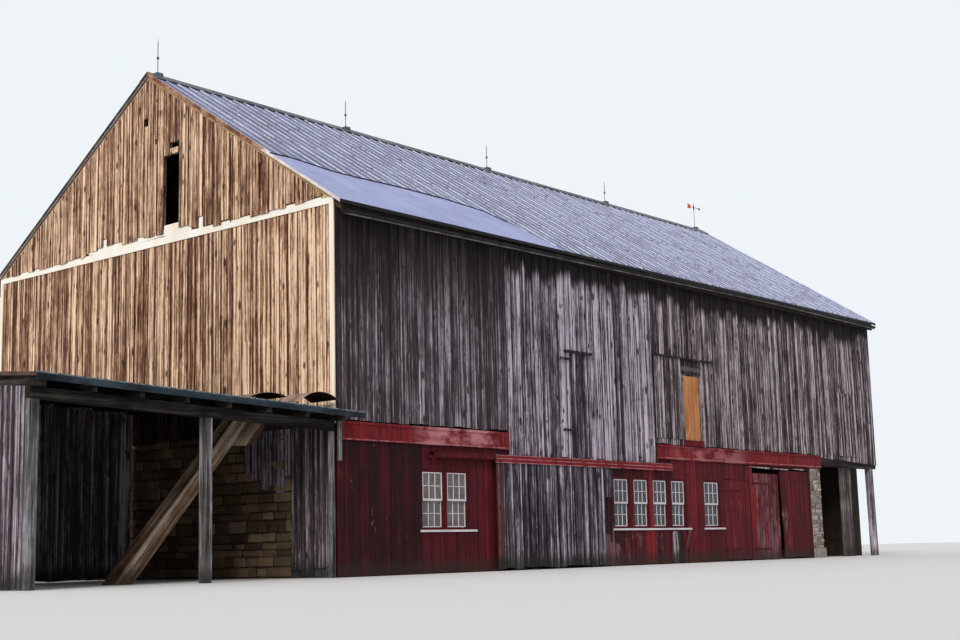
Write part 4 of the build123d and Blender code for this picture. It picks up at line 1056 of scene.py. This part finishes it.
def weathered_wood(finish, dark, middle, light, contrast=1.0, tone_span=0.5):
    """Bare weathered board: (colour, height) from grain, tone, knots, cracks and edges."""
    grain = finish.group(GRAIN, Board=finish.chance)
    value = (grain["Streaks"] - 0.5) * (2.6 * contrast) + (grain["Bands"] - 0.5) * (3.3 * contrast)
    value = value + (grain["Flecks"] - 0.5) * (1.9 * contrast) + (grain["Blotches"] - 0.5) * 1.2
    value = value + (finish.tone - 0.5) * (2 * tone_span) + 0.5
    marks = larger(grain["Knots"], grain["Cracks"] * 0.85, grain["Flecks"].run(0.60, 0.70, 0.0, 0.7))
    if finish.across is not None:
        marks = larger(marks, finish.group(EDGE, Across=finish.across)["Edge"] * 0.9)
    return blend(marks * 0.9, tones(value, dark, middle, light), darker(dark, 0.35)), grain["Height"]


def grey_board_finish(name="grey_board_finish", boards=True):
    """Silver-grey siding, browner at the west end, with damp brown under the eave."""
    finish = Finish(name)
    if boards:
        finish.read_tint()
    from_west, up = finish.from_west, finish.up
    colour, height = weathered_wood(finish, *GREY)
    reach = from_west.run(3.2, 5.4, 1.15, 0.5)
    stain = finish.group(EAVE, Board=finish.chance, Eave=SIDING_TOP, Reach=reach)["Stain"]
    colour = blend(from_west.run(*WEST_END, 0.28, 0.0), colour, WEST_BROWN)
    colour = blend(from_west.run(9.9, 10.9, 0.0, 0.8), colour, WARM_GREY, "MULTIPLY")
    shade = up.run(4.2, 6.3, 0.0, 0.88) * from_west.run(*WEST_END, 1.0, 0.0)
    colour = blend(larger(stain * from_west.run(*WEST_END, 0.3, 0.96), shade), colour, STAIN_AND_SHADE_BROWN)
    red_stile = from_west.near(4.4, 0.1) * (up < 2.17)
    colour = blend(red_stile * 0.6, colour, (0.09, 0.025, 0.028))
    return finish.done(finish.soiled(colour, 0.32, 0.85, DAMP_GREEN), height, 0.5)


def tan_board_finish():
    """Sun-baked brown boards with dark streaks, their warm light tone partly painted sunlight, painted dark
    as painted shade inside the shed.
    """
    finish = Finish("tan_board_finish")
    finish.read_tint()
    colour, height = weathered_wood(finish, *TAN, 1.1, 0.45)
    # Painted shade: boards inside the shed, under its roof, are darkened nearly to black-brown
    under_roof = (finish.up - finish.deep * SHED_RISE).run(3.36, 3.5, 1.0, 0.0)
    in_shed = (finish.along < 0.0) * (finish.deep < FRONT + SHED_DEPTH)
    return finish.done(blend(under_roof * in_shed * 0.9, colour, STAIN_AND_SHADE_BROWN), height, 0.5)


def red_paint(finish):
    """Old barn-red paint, flaked to pinkish grey wood: (colour, height)."""
    grain = finish.group(GRAIN, Board=finish.chance)
    value = finish.tone + (grain["Bands"] - 0.5) * 0.9 + (grain["Blotches"] - 0.5) * 0.7
    under = shades(grain["Streaks"], *zip((0.25, 0.5, 0.75), UNDER_RED))
    bare = finish.group(LOSS, Bareness=finish.bare)["Bare"]
    colour = blend(bare * 0.85, tones(value, *RED), under)
    marks = grain["Cracks"] * 0.6
    if finish.across is not None:
        marks = larger(marks, finish.group(EDGE, Across=finish.across)["Edge"] * 0.55)
    colour = blend(marks, colour, (0.012, 0.005, 0.006))
    return finish.soiled(colour, 0.3, 0.7, (0.03, 0.02, 0.018)), grain["Height"] - bare * 0.6


def red_finish(name, tone=None, bare=None):
    """Red paint on boards, or on a plain piece of one tone and bareness."""
    finish = Finish(name, rough=0.7)
    if tone is None:
        finish.read_tint()
    else:
        finish.tone, finish.bare = tone, bare
    return finish.done(*red_paint(finish), 0.4)


def trim_finish():
    """The red bands, faded pink where the sun bleaches them, with a painted highlight along the lower
    edges.
    """
    finish = Finish("red_trim_finish", rough=0.7)
    finish.tone, finish.bare = 0.76, 0.3
    colour, height = red_paint(finish)
    faded = larger(abs(finish.from_west - 3.3).run(0.8, 1.5, 0.8, 0.0),
                   abs(finish.from_west - 12.6).run(0.8, 2.0, 0.45, 0.0))
    faded = faded * finish.noise(2.2, 5, 0.6, (0.6, 1, 1)).run(0.40, 0.58)
    colour = blend(faded, colour, FADED_PINK)
    # Painted highlight: pink lines along the bands' lower edges, which the worn noise only breaks into
    # patches
    edges = ((2.447, 0.010), (2.224, 0.008), (2.148, 0.009), (2.292, 0.006))
    lit = larger(*[finish.up.near(middle, half) for middle, half in edges])
    worn = finish.noise(5, 5, 0.65).run(0.42, 0.55, 0.1, 0.85)
    return finish.done(blend(lit * worn, colour, EDGE_HIGHLIGHT_PINK), height, 0.4)


def ledge_finish():
    """Dark weathered ledges on the upper front, and the red sill block under the plywood door."""
    finish = Finish("ledge_finish")
    finish.tone = -0.1
    wood, _ = weathered_wood(finish, *GREY, 0.8)
    finish.tone = 0.6
    red, height = red_paint(finish)
    pale = finish.up.near(4.62, 0.05) * (finish.along > WEST + 10)
    wood = blend(pale * 0.14, wood, (0.5, 0.46, 0.47))
    return finish.done(blend(finish.up < 2.9, wood, red), height, 0.5)


# Stone finishes
def rubble_finish(name, dark, middle, light, moss=0.2):
    """Rough stones, each of its own tone, with lime and earth in their pores."""
    finish = Finish(name, rough=0.95)
    finish.read_tint()
    cloud = finish.noise(9, 6, 0.65)
    pores = finish.noise(70, 4, 0.7)
    value = cloud * 0.5 + finish.chance * 0.6 - 0.08
    colour = shades(value, (0.1, dark), (0.5, middle), (0.95, light))
    colour = blend(pores.run(0.56, 0.7, 0.0, 0.5), colour, darker(dark, 0.4))
    colour = blend(finish.noise(1.7, 4, 0.6).run(0.52, 0.66, 0.0, moss), colour, (0.07, 0.08, 0.05))
    return finish.done(colour, cloud + pores * 0.5, 0.6, 0.01)


def mortar_finish(name, dark, light):
    """Crumbling lime mortar between the stones and the plain inner face of a wall."""
    finish = Finish(name, rough=0.98)
    grit = finish.noise(90, 4, 0.7)
    colour = shades(finish.noise(6, 6, 0.7) * 0.7 + grit * 0.3, (0.3, dark), (0.7, light))
    return finish.done(colour, grit, 0.7, 0.01)


# Timber, trim and window finishes
GRAINS = {"along": (0.04, 1, 1), "deep": (1, 0.04, 1), "up": (1, 1, 0.04)}
CASING = 0.05
WHITE_PAINT = ((0.68, 0.66, 0.71), (0.52, 0.47, 0.50), (0.22, 0.14, 0.14))
CREAM_PAINT = ((0.96, 0.93, 0.87), (0.88, 0.80, 0.68), (0.45, 0.32, 0.2))


def plain_timber_finish(name, dark, middle, light, grain="along", turn=(0, 0, 0), weathered_end=None):
    """Hewn or sawn timber whose grain runs one way, turned where the piece slopes, grey past an end."""
    finish = Finish(name)
    places = grown(finish.tree, "ShaderNodeMapping", {"Vector": finish.places, "Rotation": turn})
    fine = noise(places, 34, 5, 0.68, GRAINS[grain])
    wide = noise(places, 9, 4, 0.6, GRAINS[grain])
    value = (fine - 0.5) * 1.9 + (wide - 0.5) * 2.2 + (finish.noise(1.6, 4, 0.6) - 0.5) * 1.1 + 0.5
    colour = tones(value, dark, middle, light)
    if weathered_end is not None:
        grey = tones(value, GREY[0], (0.19, 0.165, 0.19), GREY[2])
        colour = blend(finish.along > weathered_end, colour, grey)
    splits = noise(places, 60, 3, 0.6, GRAINS[grain]).run(0.62, 0.70, 0.0, 0.85)
    colour = blend(splits, colour, darker(dark, 0.3))
    return finish.done(finish.soiled(colour, 0.3, 0.6, DAMP_GREEN), fine - splits, 0.5)


def edge_board_finish():
    """Corner boards in worn cream, rust-brown rakes with green low ends, and eave boards whose near black
    is partly their own colour and partly painted shade under the roof's edge.
    """
    finish = Finish("edge_board_finish")
    grain = finish.group(GRAIN, Board=0.5)
    streak = grain["Streaks"] * 0.6 + grain["Bands"] * 0.4
    cream = shades(streak, (0.3, (0.30, 0.17, 0.09)), (0.40, (0.80, 0.66, 0.50)),
                   (0.55, (0.98, 0.92, 0.80)))
    brown = shades(streak, (0.3, (0.16, 0.07, 0.035)), (0.42, (0.50, 0.30, 0.16)),
                   (0.6, (0.78, 0.56, 0.36)))
    moss = finish.up.run(WALL_TOP + 0.1, WALL_TOP + 1.3, 1.0, 0.0) * grain["Blotches"].run(0.4, 0.6)
    brown = blend(moss * 0.8, brown, (0.33, 0.31, 0.07))
    colour = blend(finish.up > BAND_TOP - 0.05, cream, brown)
    # Eave boards: near black, partly painted shade under the roof's edge
    eave = shades(streak, (0.35, (0.010, 0.008, 0.008)), (0.7, (0.05, 0.036, 0.03)))
    return finish.done(blend(abs(finish.deep) > WIDTH / 2 + 0.12, colour, eave), grain["Height"], 0.4)


def painted_wood(finish, paint, worn, under, bareness):
    """Painted trim with worn edges and flaked patches: (colour, height)."""
    grain = finish.group(GRAIN, Board=0.3)
    base = shades(grain["Blotches"], (0.3, worn), (0.6, paint))
    wood = shades(grain["Streaks"], (0.3, darker(under, 0.5)), (0.6, under))
    bare = finish.group(LOSS, Bareness=bareness)["Bare"]
    return blend(bare, base, wood), grain["Height"] - bare


def painted_wood_finish(name, paint, worn, under, bareness):
    """A finish of one worn paint."""
    finish = Finish(name, rough=0.65)
    return finish.done(*painted_wood(finish, paint, worn, under, bareness), 0.3)


def sash_finish():
    """White sashes in casings that are painted red with the front wall."""
    finish = Finish("sash_finish", rough=0.65)
    white, height = painted_wood(finish, *WHITE_PAINT, 0.3)
    columns = [finish.along.near(WEST + start + width / 2, width / 2 - CASING)
               for start, width in WINDOWS]
    row = finish.up.near(sum(WINDOW_Z) / 2, (WINDOW_Z[1] - WINDOW_Z[0]) / 2 - CASING)
    sash = larger(finish.deep > 0.0, *columns) * row
    red = shades(finish.noise(14, 4, 0.6), (0.3, (0.03, 0.005, 0.007)), (0.7, (0.13, 0.01, 0.014)))
    return finish.done(blend(sash, red, white), height, 0.3)


def plywood_finish():
    """Raw orange plywood with wavy veneer figure."""
    finish = Finish("plywood_finish", rough=0.7)
    wave = {"Vector": finish.places, "Scale": 1.6, "Distortion": 9.0, "Detail": 3.0}
    figure = grown(finish.tree, "ShaderNodeTexWave", wave, 1, bands_direction="X")
    value = finish.noise(3.0, 4, 0.5, (1, 1, 0.35)) * 0.85 + figure * 0.15
    colour = shades(value, (0.2, (0.28, 0.10, 0.036)), (0.5, (0.47, 0.185, 0.072)),
                    (0.8, (0.66, 0.31, 0.13)))
    return finish.done(colour, figure, 0.1)


def glass_finish():
    """Old window glass, painted nearly black as painted shade for the dark room behind it, dusty in the
    west pair, with wavy reflections.
    """
    finish = Finish("glass_finish", rough=0.08, gloss=0.5)
    finish.shader.inputs["IOR"].default_value = 1.5
    finish.shader.inputs["Transmission Weight"].default_value = 0.25
    dust = finish.noise(5, 5, 0.6)
    # Painted shade: this glass is nearly black for the unlit room behind it
    dark_glass = shades(dust, (0.4, (0.006, 0.009, 0.015)), (0.65, (0.04, 0.048, 0.065)))
    dusty_glass = shades(dust, (0.4, (0.10, 0.08, 0.08)), (0.65, (0.20, 0.165, 0.155)))
    colour = blend(finish.along < WEST + WINDOWS[2][0] - 1, dark_glass, dusty_glass)
    return finish.done(colour, finish.noise(3.5, 2, 0.5), 0.1, 0.02, dust.run(0.4, 0.7, 0.06, 0.4))


# Metal finishes
SHEET_LENGTH = 0.92
SPECK_BLACK = (0.025, 0.025, 0.04)
RAKE_FACE = 0.117


def roof_edges(finish, colour):
    """Eave ends painted near black as painted shade, a rusty east rake, and a west rake pale below, red
    above and dark behind.
    """
    cloud = finish.noise(3.5, 5, 0.65)
    dark = shades(cloud, (0.4, (0.022, 0.015, 0.012)), (0.5, (0.06, 0.035, 0.02)),
                  (0.62, (0.09, 0.095, 0.025)))
    rusty = shades(cloud, (0.4, (0.42, 0.27, 0.17)), (0.52, (0.24, 0.08, 0.04)),
                   (0.62, (0.08, 0.05, 0.04)))
    pale = shades(cloud, (0.4, (0.62, 0.52, 0.52)), (0.6, (0.86, 0.80, 0.80)))
    rake = blend(finish.deep > 0.0, blend(finish.up < SMOOTH_TOP + 0.1, rusty, pale), dark)
    colour = blend(finish.along < WEST - RAKE_FACE, colour, rake)
    colour = blend(finish.along > EAST + RAKE_FACE, colour, rusty)
    # Painted shade: the sheets' ends at the eaves are near black
    return blend(abs(finish.deep) > WIDTH / 2 + EAVE_REACH - 0.003, colour, (0.012, 0.011, 0.013))


def roof_laps(finish, colour):
    """Painted highlights on the ribs with painted shadow beside them, ragged lap lines and dark specks:
    (colour, lines).
    """
    from_rib = (finish.along - (WEST + SEAM["start"] + SEAM["width"] / 2)) / (SEAM["pitch"] / 2)
    beside = abs((from_rib + 0.5).calc("FRACT") - 0.5)
    # Painted shadow in bands beside each rib
    colour = blend(abs(beside - 0.17).run(0.05, 0.13, 0.78, 0.0), colour, (0.06, 0.06, 0.095))
    # Painted highlight along each rib, which the worn noise only breaks into patches
    worn = finish.noise(3.0, 4, 0.6, (1, 0.5, 0.5)).run(0.38, 0.52, 0.55, 1.0)
    colour = blend(beside.run(0.055, 0.085, 1.0, 0.0) * worn, colour, (0.68, 0.71, 0.88))
    strip = (from_rib * 0.5).calc("FLOOR")
    course = grown(finish.tree, "ShaderNodeTexWhiteNoise", {"W": strip}, noise_dimensions="1D")
    ragged = (finish.noise(14, 4, 0.7) - 0.5) * 0.12
    step = ((finish.up - WALL_TOP) / SHEET_LENGTH + ragged + course * 0.3).calc("FRACT")
    line = step.run(0.0, 0.05, 1.0, 0.0) * finish.noise(8, 4, 0.7).run(0.42, 0.52)
    line = larger(line, finish.noise(16, 3, 0.7, (1, 0.5, 0.5)).run(0.60, 0.66) * 0.7)
    return blend(line * 0.85, colour, SPECK_BLACK), line


def roof_finish(name, dark, middle, light, rust_amount, laps=True):
    """Dull galvanised sheets with streaks down the slope, rust and, on the old sheets, ribs and laps."""
    finish = Finish(name, rough=0.55, metal=0.15)
    cloud = finish.noise(0.9, 5, 0.6)
    value = cloud * 0.5 + finish.noise(9, 5, 0.65, (1, 0.08, 0.08)) * 0.5
    colour = shades(value, (0.34, dark), (0.5, middle), (0.66, light))
    rusted = finish.group(RUST, Amount=rust_amount)
    rust_colour = shades(rusted["Shade"], (0.3, (0.035, 0.025, 0.028)), (0.7, (0.16, 0.085, 0.06)))
    colour = blend(rusted["Rust"] * 0.75, colour, rust_colour)
    height = cloud
    if laps:
        colour, line = roof_laps(finish, colour)
        height = cloud - line
    rough = rusted["Rust"].run(0.0, 1.0, 0.5, 0.9)
    return finish.done(roof_edges(finish, colour), height, 0.25, 0.006, rough)


def iron_finish(name="iron_finish", dark=(0.014, 0.01, 0.01), light=(0.10, 0.05, 0.032)):
    """Rusted ironwork."""
    finish = Finish(name, rough=0.8, metal=0.3)
    cloud = finish.noise(30, 5, 0.7)
    return finish.done(shades(cloud, (0.35, dark), (0.65, light)), cloud, 0.5, 0.002)


def track_finish():
    """The door rail, painted over in dark red where it runs bare past its cover."""
    finish = Finish("track_finish", rough=0.8)
    cloud = finish.noise(30, 5, 0.7)
    iron = shades(cloud, (0.35, (0.012, 0.009, 0.009)), (0.65, (0.06, 0.035, 0.028)))
    red = shades(cloud, (0.35, (0.05, 0.006, 0.009)), (0.65, (0.13, 0.014, 0.02)))
    return finish.done(blend(finish.along < WEST + COVER[0], iron, red), cloud, 0.5, 0.002)


def gutter_finish():
    """A blackened gutter whose underside is painted pale as painted light from the ground."""
    finish = Finish("gutter_finish", rough=0.7, metal=0.2)
    cloud = finish.noise(7, 5, 0.7, (0.4, 1, 1))
    black = shades(cloud, (0.35, (0.008, 0.008, 0.009)), (0.65, (0.035, 0.032, 0.033)))
    # Painted highlight: this pale colour goes on the faces turned downwards
    pale = shades(cloud, (0.35, (0.07, 0.065, 0.062)), (0.65, (0.34, 0.33, 0.33)))
    return finish.done(blend(facing_up(finish.tree).run(-0.75, -0.92), black, pale), cloud, 0.3, 0.003)


def vane_finish():
    """A black vane with a tail in faded orange-red paint."""
    finish = Finish("vane_finish", rough=0.6, metal=0.2)
    tail = finish.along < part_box("weather_vane")[0].x + 0.25
    cloud = finish.noise(25, 4, 0.6)
    iron = shades(cloud, (0.35, (0.02, 0.015, 0.015)), (0.65, (0.10, 0.05, 0.035)))
    paint = shades(cloud, (0.35, (0.55, 0.09, 0.04)), (0.65, (0.75, 0.17, 0.07)))
    return finish.done(blend(tail, iron, paint), cloud, 0.3, 0.002)


def shed_metal_finish(name, dark, middle, light, rust_amount, lip=None):
    """Ribbed painted sheet with rust, painted dark underneath as painted shade; lip is where a fascia's
    turned edge starts.
    """
    finish = Finish(name, rough=0.6, metal=0.2)
    cloud = finish.noise(2.4, 5, 0.6, (0.5, 1, 1))
    colour = shades(cloud, (0.38, dark), (0.5, middle), (0.62, light))
    ribs = abs((finish.along * (2 * math.pi / 0.15)).calc("SINE"))
    rusted = finish.group(RUST, Amount=rust_amount)["Rust"]
    colour = blend(rusted * 0.8, colour, (0.13, 0.06, 0.03))
    if lip is not None:
        above = finish.up + finish.from_west * SHED_FALL
        worn = finish.noise(11, 4, 0.7).run(0.42, 0.56, 0.25, 1.0)
        colour = blend((above > lip) * worn, colour, (0.20, 0.24, 0.26))
    # Painted shade: faces turned downwards are darkened nearly to black
    colour = blend(facing_up(finish.tree) < -0.5, colour, (0.012, 0.010, 0.010))
    return finish.done(colour, ribs + cloud * 0.2, 0.5, 0.01)


def dress(finish, *names):
    """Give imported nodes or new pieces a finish."""
    for name in names:
        piece = NODES.get(name) or bpy.data.objects[name]
        piece.data.materials.clear()
        piece.data.materials.append(finish)


# Making everything
BOARD_MASTER = Master("board", (BOARD["width"], BOARD["thickness"], 1), BOARD["ease"],
                      lambda way, middle: abs(way.z) > 0.9, BOARD["cuts"])
STONE_MASTER = Master("stone", (STONE["length"], STONE["depth"], STONE["height"]), STONE["ease"],
                      lambda way, middle: middle.y < STONE["depth"] / 2 or abs(way.y) > 0.9)

front_siding_boards()
panel_boards()
gable_boards("west_gable_boards", "west", 13, False)
gable_boards("east_gable_boards", "east", 14, True)
band_patches("west_band_patches", "west", False)
band_patches("east_band_patches", "east", True)
rear_siding_boards()
red_wall_boards()
grey_leaf("grey_left_boards", "grey_left", "grey_door_left", 17, 1)
grey_leaf("grey_right_boards", "grey_right", "grey_door_right", 18, -1)
red_leaf("stable_boards", "stable", "stable_door", 19, 0, 0.42, 0.64)
red_leaf("red_left_boards", "red_left", "red_door_left", 20, 0, patches(0.45, (14.85, 15.7, 0.74)), 0.62)
red_leaf("red_right_boards", "red_right", "red_door_right", 24, 0.13,
         lambda across, up: 0.6 if across < 16.5 and up < 1.3 else 0.2, 0.45)
shed_wall_boards()
corner_boards()
REAR_HOLES = [(LENGTH - start - REAR_WINDOW_WIDTH, LENGTH - start, *WINDOW_Z) for start in REAR_WINDOWS]
stone_wall("west_stones", "west", 41, 0.0, WIDTH - BOARDED_CORNER)
stone_wall("rear_stones", "rear", 42, 0.0, LENGTH, REAR_HOLES)
stone_wall("east_stones", "east", 43, 0.6, WIDTH)
pier_stones()
foot_boards()
sill_brace()
lintel_strips()
rail_hood()
roof_ribs()
window_bars()
BOARD_MASTER.remove()
STONE_MASTER.remove()

dress(grey_board_finish(), "foot_boards", "lintel_strips", "front_siding_boards", "panel_boards",
      "rear_siding_boards", "grey_left_boards", "grey_right_boards", "shed_wall_boards", "corner_boards")
dress(grey_board_finish("grey_slab_finish", False), "west_wall_boards", "front_siding", "board_shutters",
      "rear_siding", "grey_door_left", "grey_door_right", "shed_walls")
dress(tan_board_finish(), "west_gable_boards", "east_gable_boards", "west_gable", "east_gable")
dress(red_finish("red_board_finish"), "red_wall_boards", "sill_brace", "rail_hood", "stable_boards",
      "red_left_boards", "red_right_boards")
dress(red_finish("red_slab_finish", 0.25, 0.2), "front_wall_left", "front_wall_middle", "door_posts",
      "door_heads", "stable_door", "red_door_left", "red_door_right")
dress(red_finish("red_iron_finish", 0.35, 0.25), "stable_door_hinges", "left_door_hinges",
      "right_door_hinges")
dress(trim_finish(), "red_trim")
dress(ledge_finish(), "front_ledges")
BROWN_STONE = ((0.045, 0.028, 0.018), (0.15, 0.10, 0.062), (0.34, 0.24, 0.15))
PALE_STONE = ((0.085, 0.066, 0.062), (0.25, 0.205, 0.19), (0.64, 0.57, 0.55))
dress(rubble_finish("brown_rubble_finish", *BROWN_STONE), "west_stones", "rear_stones", "east_stones")
dress(rubble_finish("pale_rubble_finish", *PALE_STONE, 0.1), "pier_stones")
dress(mortar_finish("mortar_finish", (0.012, 0.009, 0.007), (0.06, 0.045, 0.034)),
      "west_stone_wall", "rear_stone_wall", "east_stone_wall")
dress(mortar_finish("pale_mortar_finish", (0.14, 0.12, 0.105), (0.42, 0.38, 0.34)), "stone_pier")
dress(edge_board_finish(), "edge_boards")
dress(painted_wood_finish("cream_finish", *CREAM_PAINT, 0.16), "gable_bands", "west_band_patches",
      "east_band_patches")
dress(painted_wood_finish("white_finish", *WHITE_PAINT, 0.3), "window_sills", "window_bars")
dress(sash_finish(), "window_sashes")
dress(glass_finish(), "window_glass")
dress(plywood_finish(), "plywood_door")

FRAME_TONES = ((0.012, 0.008, 0.006), (0.045, 0.031, 0.022), (0.14, 0.10, 0.07))
PANEL_TONES = ((0.02, 0.017, 0.016), (0.085, 0.073, 0.07), (0.30, 0.27, 0.26))
SHED_TONES = ((0.03, 0.026, 0.026), (0.12, 0.115, 0.12), (0.42, 0.41, 0.43))
# Painted shade: the shed's beams, long timbers and rafters are darkened nearly to black for the deep shade
# inside the shed
SHADED_TIMBER_TONES = ((0.006, 0.005, 0.004), (0.02, 0.017, 0.015), (0.07, 0.062, 0.055))
CHUTE_TONES = ((0.05, 0.026, 0.016), (0.17, 0.105, 0.068), (0.42, 0.34, 0.27))
CHUTE_TURN = (0, math.radians(48.5), 0)
dress(plain_timber_finish("bay_panel_finish", *PANEL_TONES, "up"), "bay_panel")
dress(plain_timber_finish("frame_along_finish", *FRAME_TONES), "loft_floor", "girts")
dress(plain_timber_finish("frame_up_finish", *FRAME_TONES, "up", weathered_end=EAST - 0.45),
      "frame_posts")
dress(plain_timber_finish("frame_deep_finish", *FRAME_TONES, "deep"), "tie_beams", "loft_joists",
      "wind_braces")
dress(plain_timber_finish("front_rafter_finish", *FRAME_TONES, "deep", (-PITCH, 0, 0)), "front_rafters")
dress(plain_timber_finish("rear_rafter_finish", *FRAME_TONES, "deep", (PITCH, 0, 0)), "rear_rafters")
dress(plain_timber_finish("shed_post_finish", *SHED_TONES, "up"), "shed_posts")
dress(plain_timber_finish("shed_beam_finish", *SHADED_TIMBER_TONES), "shed_beam", "long_timbers")
dress(plain_timber_finish("shed_rafter_finish", *SHADED_TIMBER_TONES, "deep"), "shed_rafters")
dress(plain_timber_finish("chute_finish", *CHUTE_TONES, "along", CHUTE_TURN), "hay_chute")

OLD_SHEET = ((0.08, 0.08, 0.14), (0.18, 0.185, 0.305), (0.35, 0.36, 0.53))
SMOOTH_SHEET = ((0.28, 0.305, 0.52), (0.36, 0.395, 0.66), (0.45, 0.495, 0.79))
RIDGE_SHEET = ((0.035, 0.042, 0.04), (0.10, 0.11, 0.12), (0.27, 0.28, 0.33))
SHED_ROOF_SHEET = ((0.05, 0.035, 0.03), (0.10, 0.075, 0.06), (0.16, 0.15, 0.13))
FASCIA_SHEET = ((0.010, 0.014, 0.019), (0.022, 0.032, 0.042), (0.04, 0.06, 0.075))
LOOSE_SHEET = ((0.07, 0.04, 0.03), (0.30, 0.19, 0.145), (0.58, 0.42, 0.34))
FASCIA_LOW, FASCIA_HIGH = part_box("shed_fascia")
FASCIA_LIP = FASCIA_HIGH.z - (WEST - FASCIA_LOW.x) * SHED_FALL - 0.022
dress(roof_finish("roof_finish", *OLD_SHEET, 0.32), "roof_front", "roof_rear")
dress(roof_finish("smooth_roof_finish", *SMOOTH_SHEET, 0.03, False), "smooth_roof_sheets")
dress(roof_finish("ridge_finish", *RIDGE_SHEET, 0.5, False), "ridge_cap")
# The ribs are painted pale blue-white as a painted highlight
dress(iron_finish("rib_highlight_finish", (0.25, 0.26, 0.36), (0.70, 0.73, 0.90)), "roof_ribs")
# Painted shadow: the torn lip is near black for the shadow gap where the old sheets lap over the smooth
# ones
dress(iron_finish("lip_shadow_finish", (0.006, 0.006, 0.01), (0.04, 0.04, 0.06)), "sheet_lip")
dress(gutter_finish(), "gutters")
dress(shed_metal_finish("shed_roof_finish", *SHED_ROOF_SHEET, 0.62), "shed_roof")
dress(shed_metal_finish("fascia_finish", *FASCIA_SHEET, 0.25, FASCIA_LIP), "shed_fascia")
dress(shed_metal_finish("loose_sheet_finish", *LOOSE_SHEET, 0.4), "loose_sheets")
dress(track_finish(), "door_track")
dress(iron_finish(), "hinge_pintles")
dress(iron_finish("rod_finish", (0.045, 0.055, 0.06), (0.20, 0.24, 0.27)), "lightning_rods")
dress(iron_finish("hanger_finish", (0.012, 0.011, 0.012), (0.06, 0.05, 0.052)), "left_door_hangers",
      "right_door_hangers")
dress(vane_finish(), "weather_vane")


# Studio: floor, backdrop colour, light and camera; angles in degrees
SUN = {"way": (0.8, 0.35, -0.5), "strength": 2.0, "spread": 25, "colour": (1.0, 0.96, 0.9)}
CAMERA = {"place": (-25.744, -24.095, 0.411), "heading": -49.8, "rise": 9.1, "roll": -1.41, "lens": 53.96}


def make_floor():
    """A wide pale floor."""
    deselect()
    bpy.ops.mesh.primitive_circle_add(vertices=96, radius=160, fill_type="NGON", location=(0, 0, -0.002))
    floor = bpy.context.object
    floor.name = "studio_floor"
    bpy.ops.object.transform_apply(location=True)
    material = bpy.data.materials.new("studio_floor_finish")
    material.use_nodes = True
    shader = material.node_tree.nodes["Principled BSDF"]
    shader.inputs["Base Color"].default_value = (0.8, 0.8, 0.79, 1)
    shader.inputs["Roughness"].default_value = 0.9
    floor.data.materials.append(material)


def make_world():
    """Even fill light, with a pale backdrop where the camera, metal or glass sees it."""
    world = bpy.data.worlds.new("studio_world")
    bpy.context.scene.world = world
    world.use_nodes = True
    tree = world.node_tree
    tree.nodes.clear()
    path = put(tree, "ShaderNodeLightPath")
    rays = ("Is Camera Ray", "Is Glossy Ray", "Is Transmission Ray")
    seen = larger(*[Field(tree, path.outputs[ray]) for ray in rays])
    fill = grown(tree, "ShaderNodeBackground", {"Color": (0.93, 0.96, 1.0, 1), "Strength": 0.55})
    backdrop = grown(tree, "ShaderNodeBackground", {"Color": (0.86, 0.91, 0.94, 1), "Strength": 1.0})
    both = grown(tree, "ShaderNodeMixShader", {0: seen, 1: fill, 2: backdrop})
    put(tree, "ShaderNodeOutputWorld", {"Surface": both})


def make_sun():
    """One large soft light from the left and a little in front."""
    light = bpy.data.lights.new("soft_key", "SUN")
    light.energy = SUN["strength"]
    light.angle = math.radians(SUN["spread"])
    light.color = SUN["colour"]
    lamp = bpy.data.objects.new("soft_key", light)
    bpy.context.scene.collection.objects.link(lamp)
    lamp.rotation_euler = Vector(SUN["way"]).to_track_quat("-Z", "Y").to_euler()


def make_camera():
    """The photograph's viewpoint, near the ground off the front-left corner."""
    lens = bpy.data.cameras.new("photo_camera")
    lens.lens = CAMERA["lens"]
    lens.clip_end = 500
    camera = bpy.data.objects.new("photo_camera", lens)
    bpy.context.scene.collection.objects.link(camera)
    turn = Matrix.Identity(4)
    for angle, axis in ((CAMERA["heading"], "Z"), (90 + CAMERA["rise"], "X"), (CAMERA["roll"], "Z")):
        turn = turn @ Matrix.Rotation(math.radians(angle), 4, axis)
    camera.matrix_world = Matrix.Translation(CAMERA["place"]) @ turn
    bpy.context.scene.camera = camera


make_floor()
make_world()
make_sun()
make_camera()
bpy.context.scene.view_settings.view_transform = "Standard"
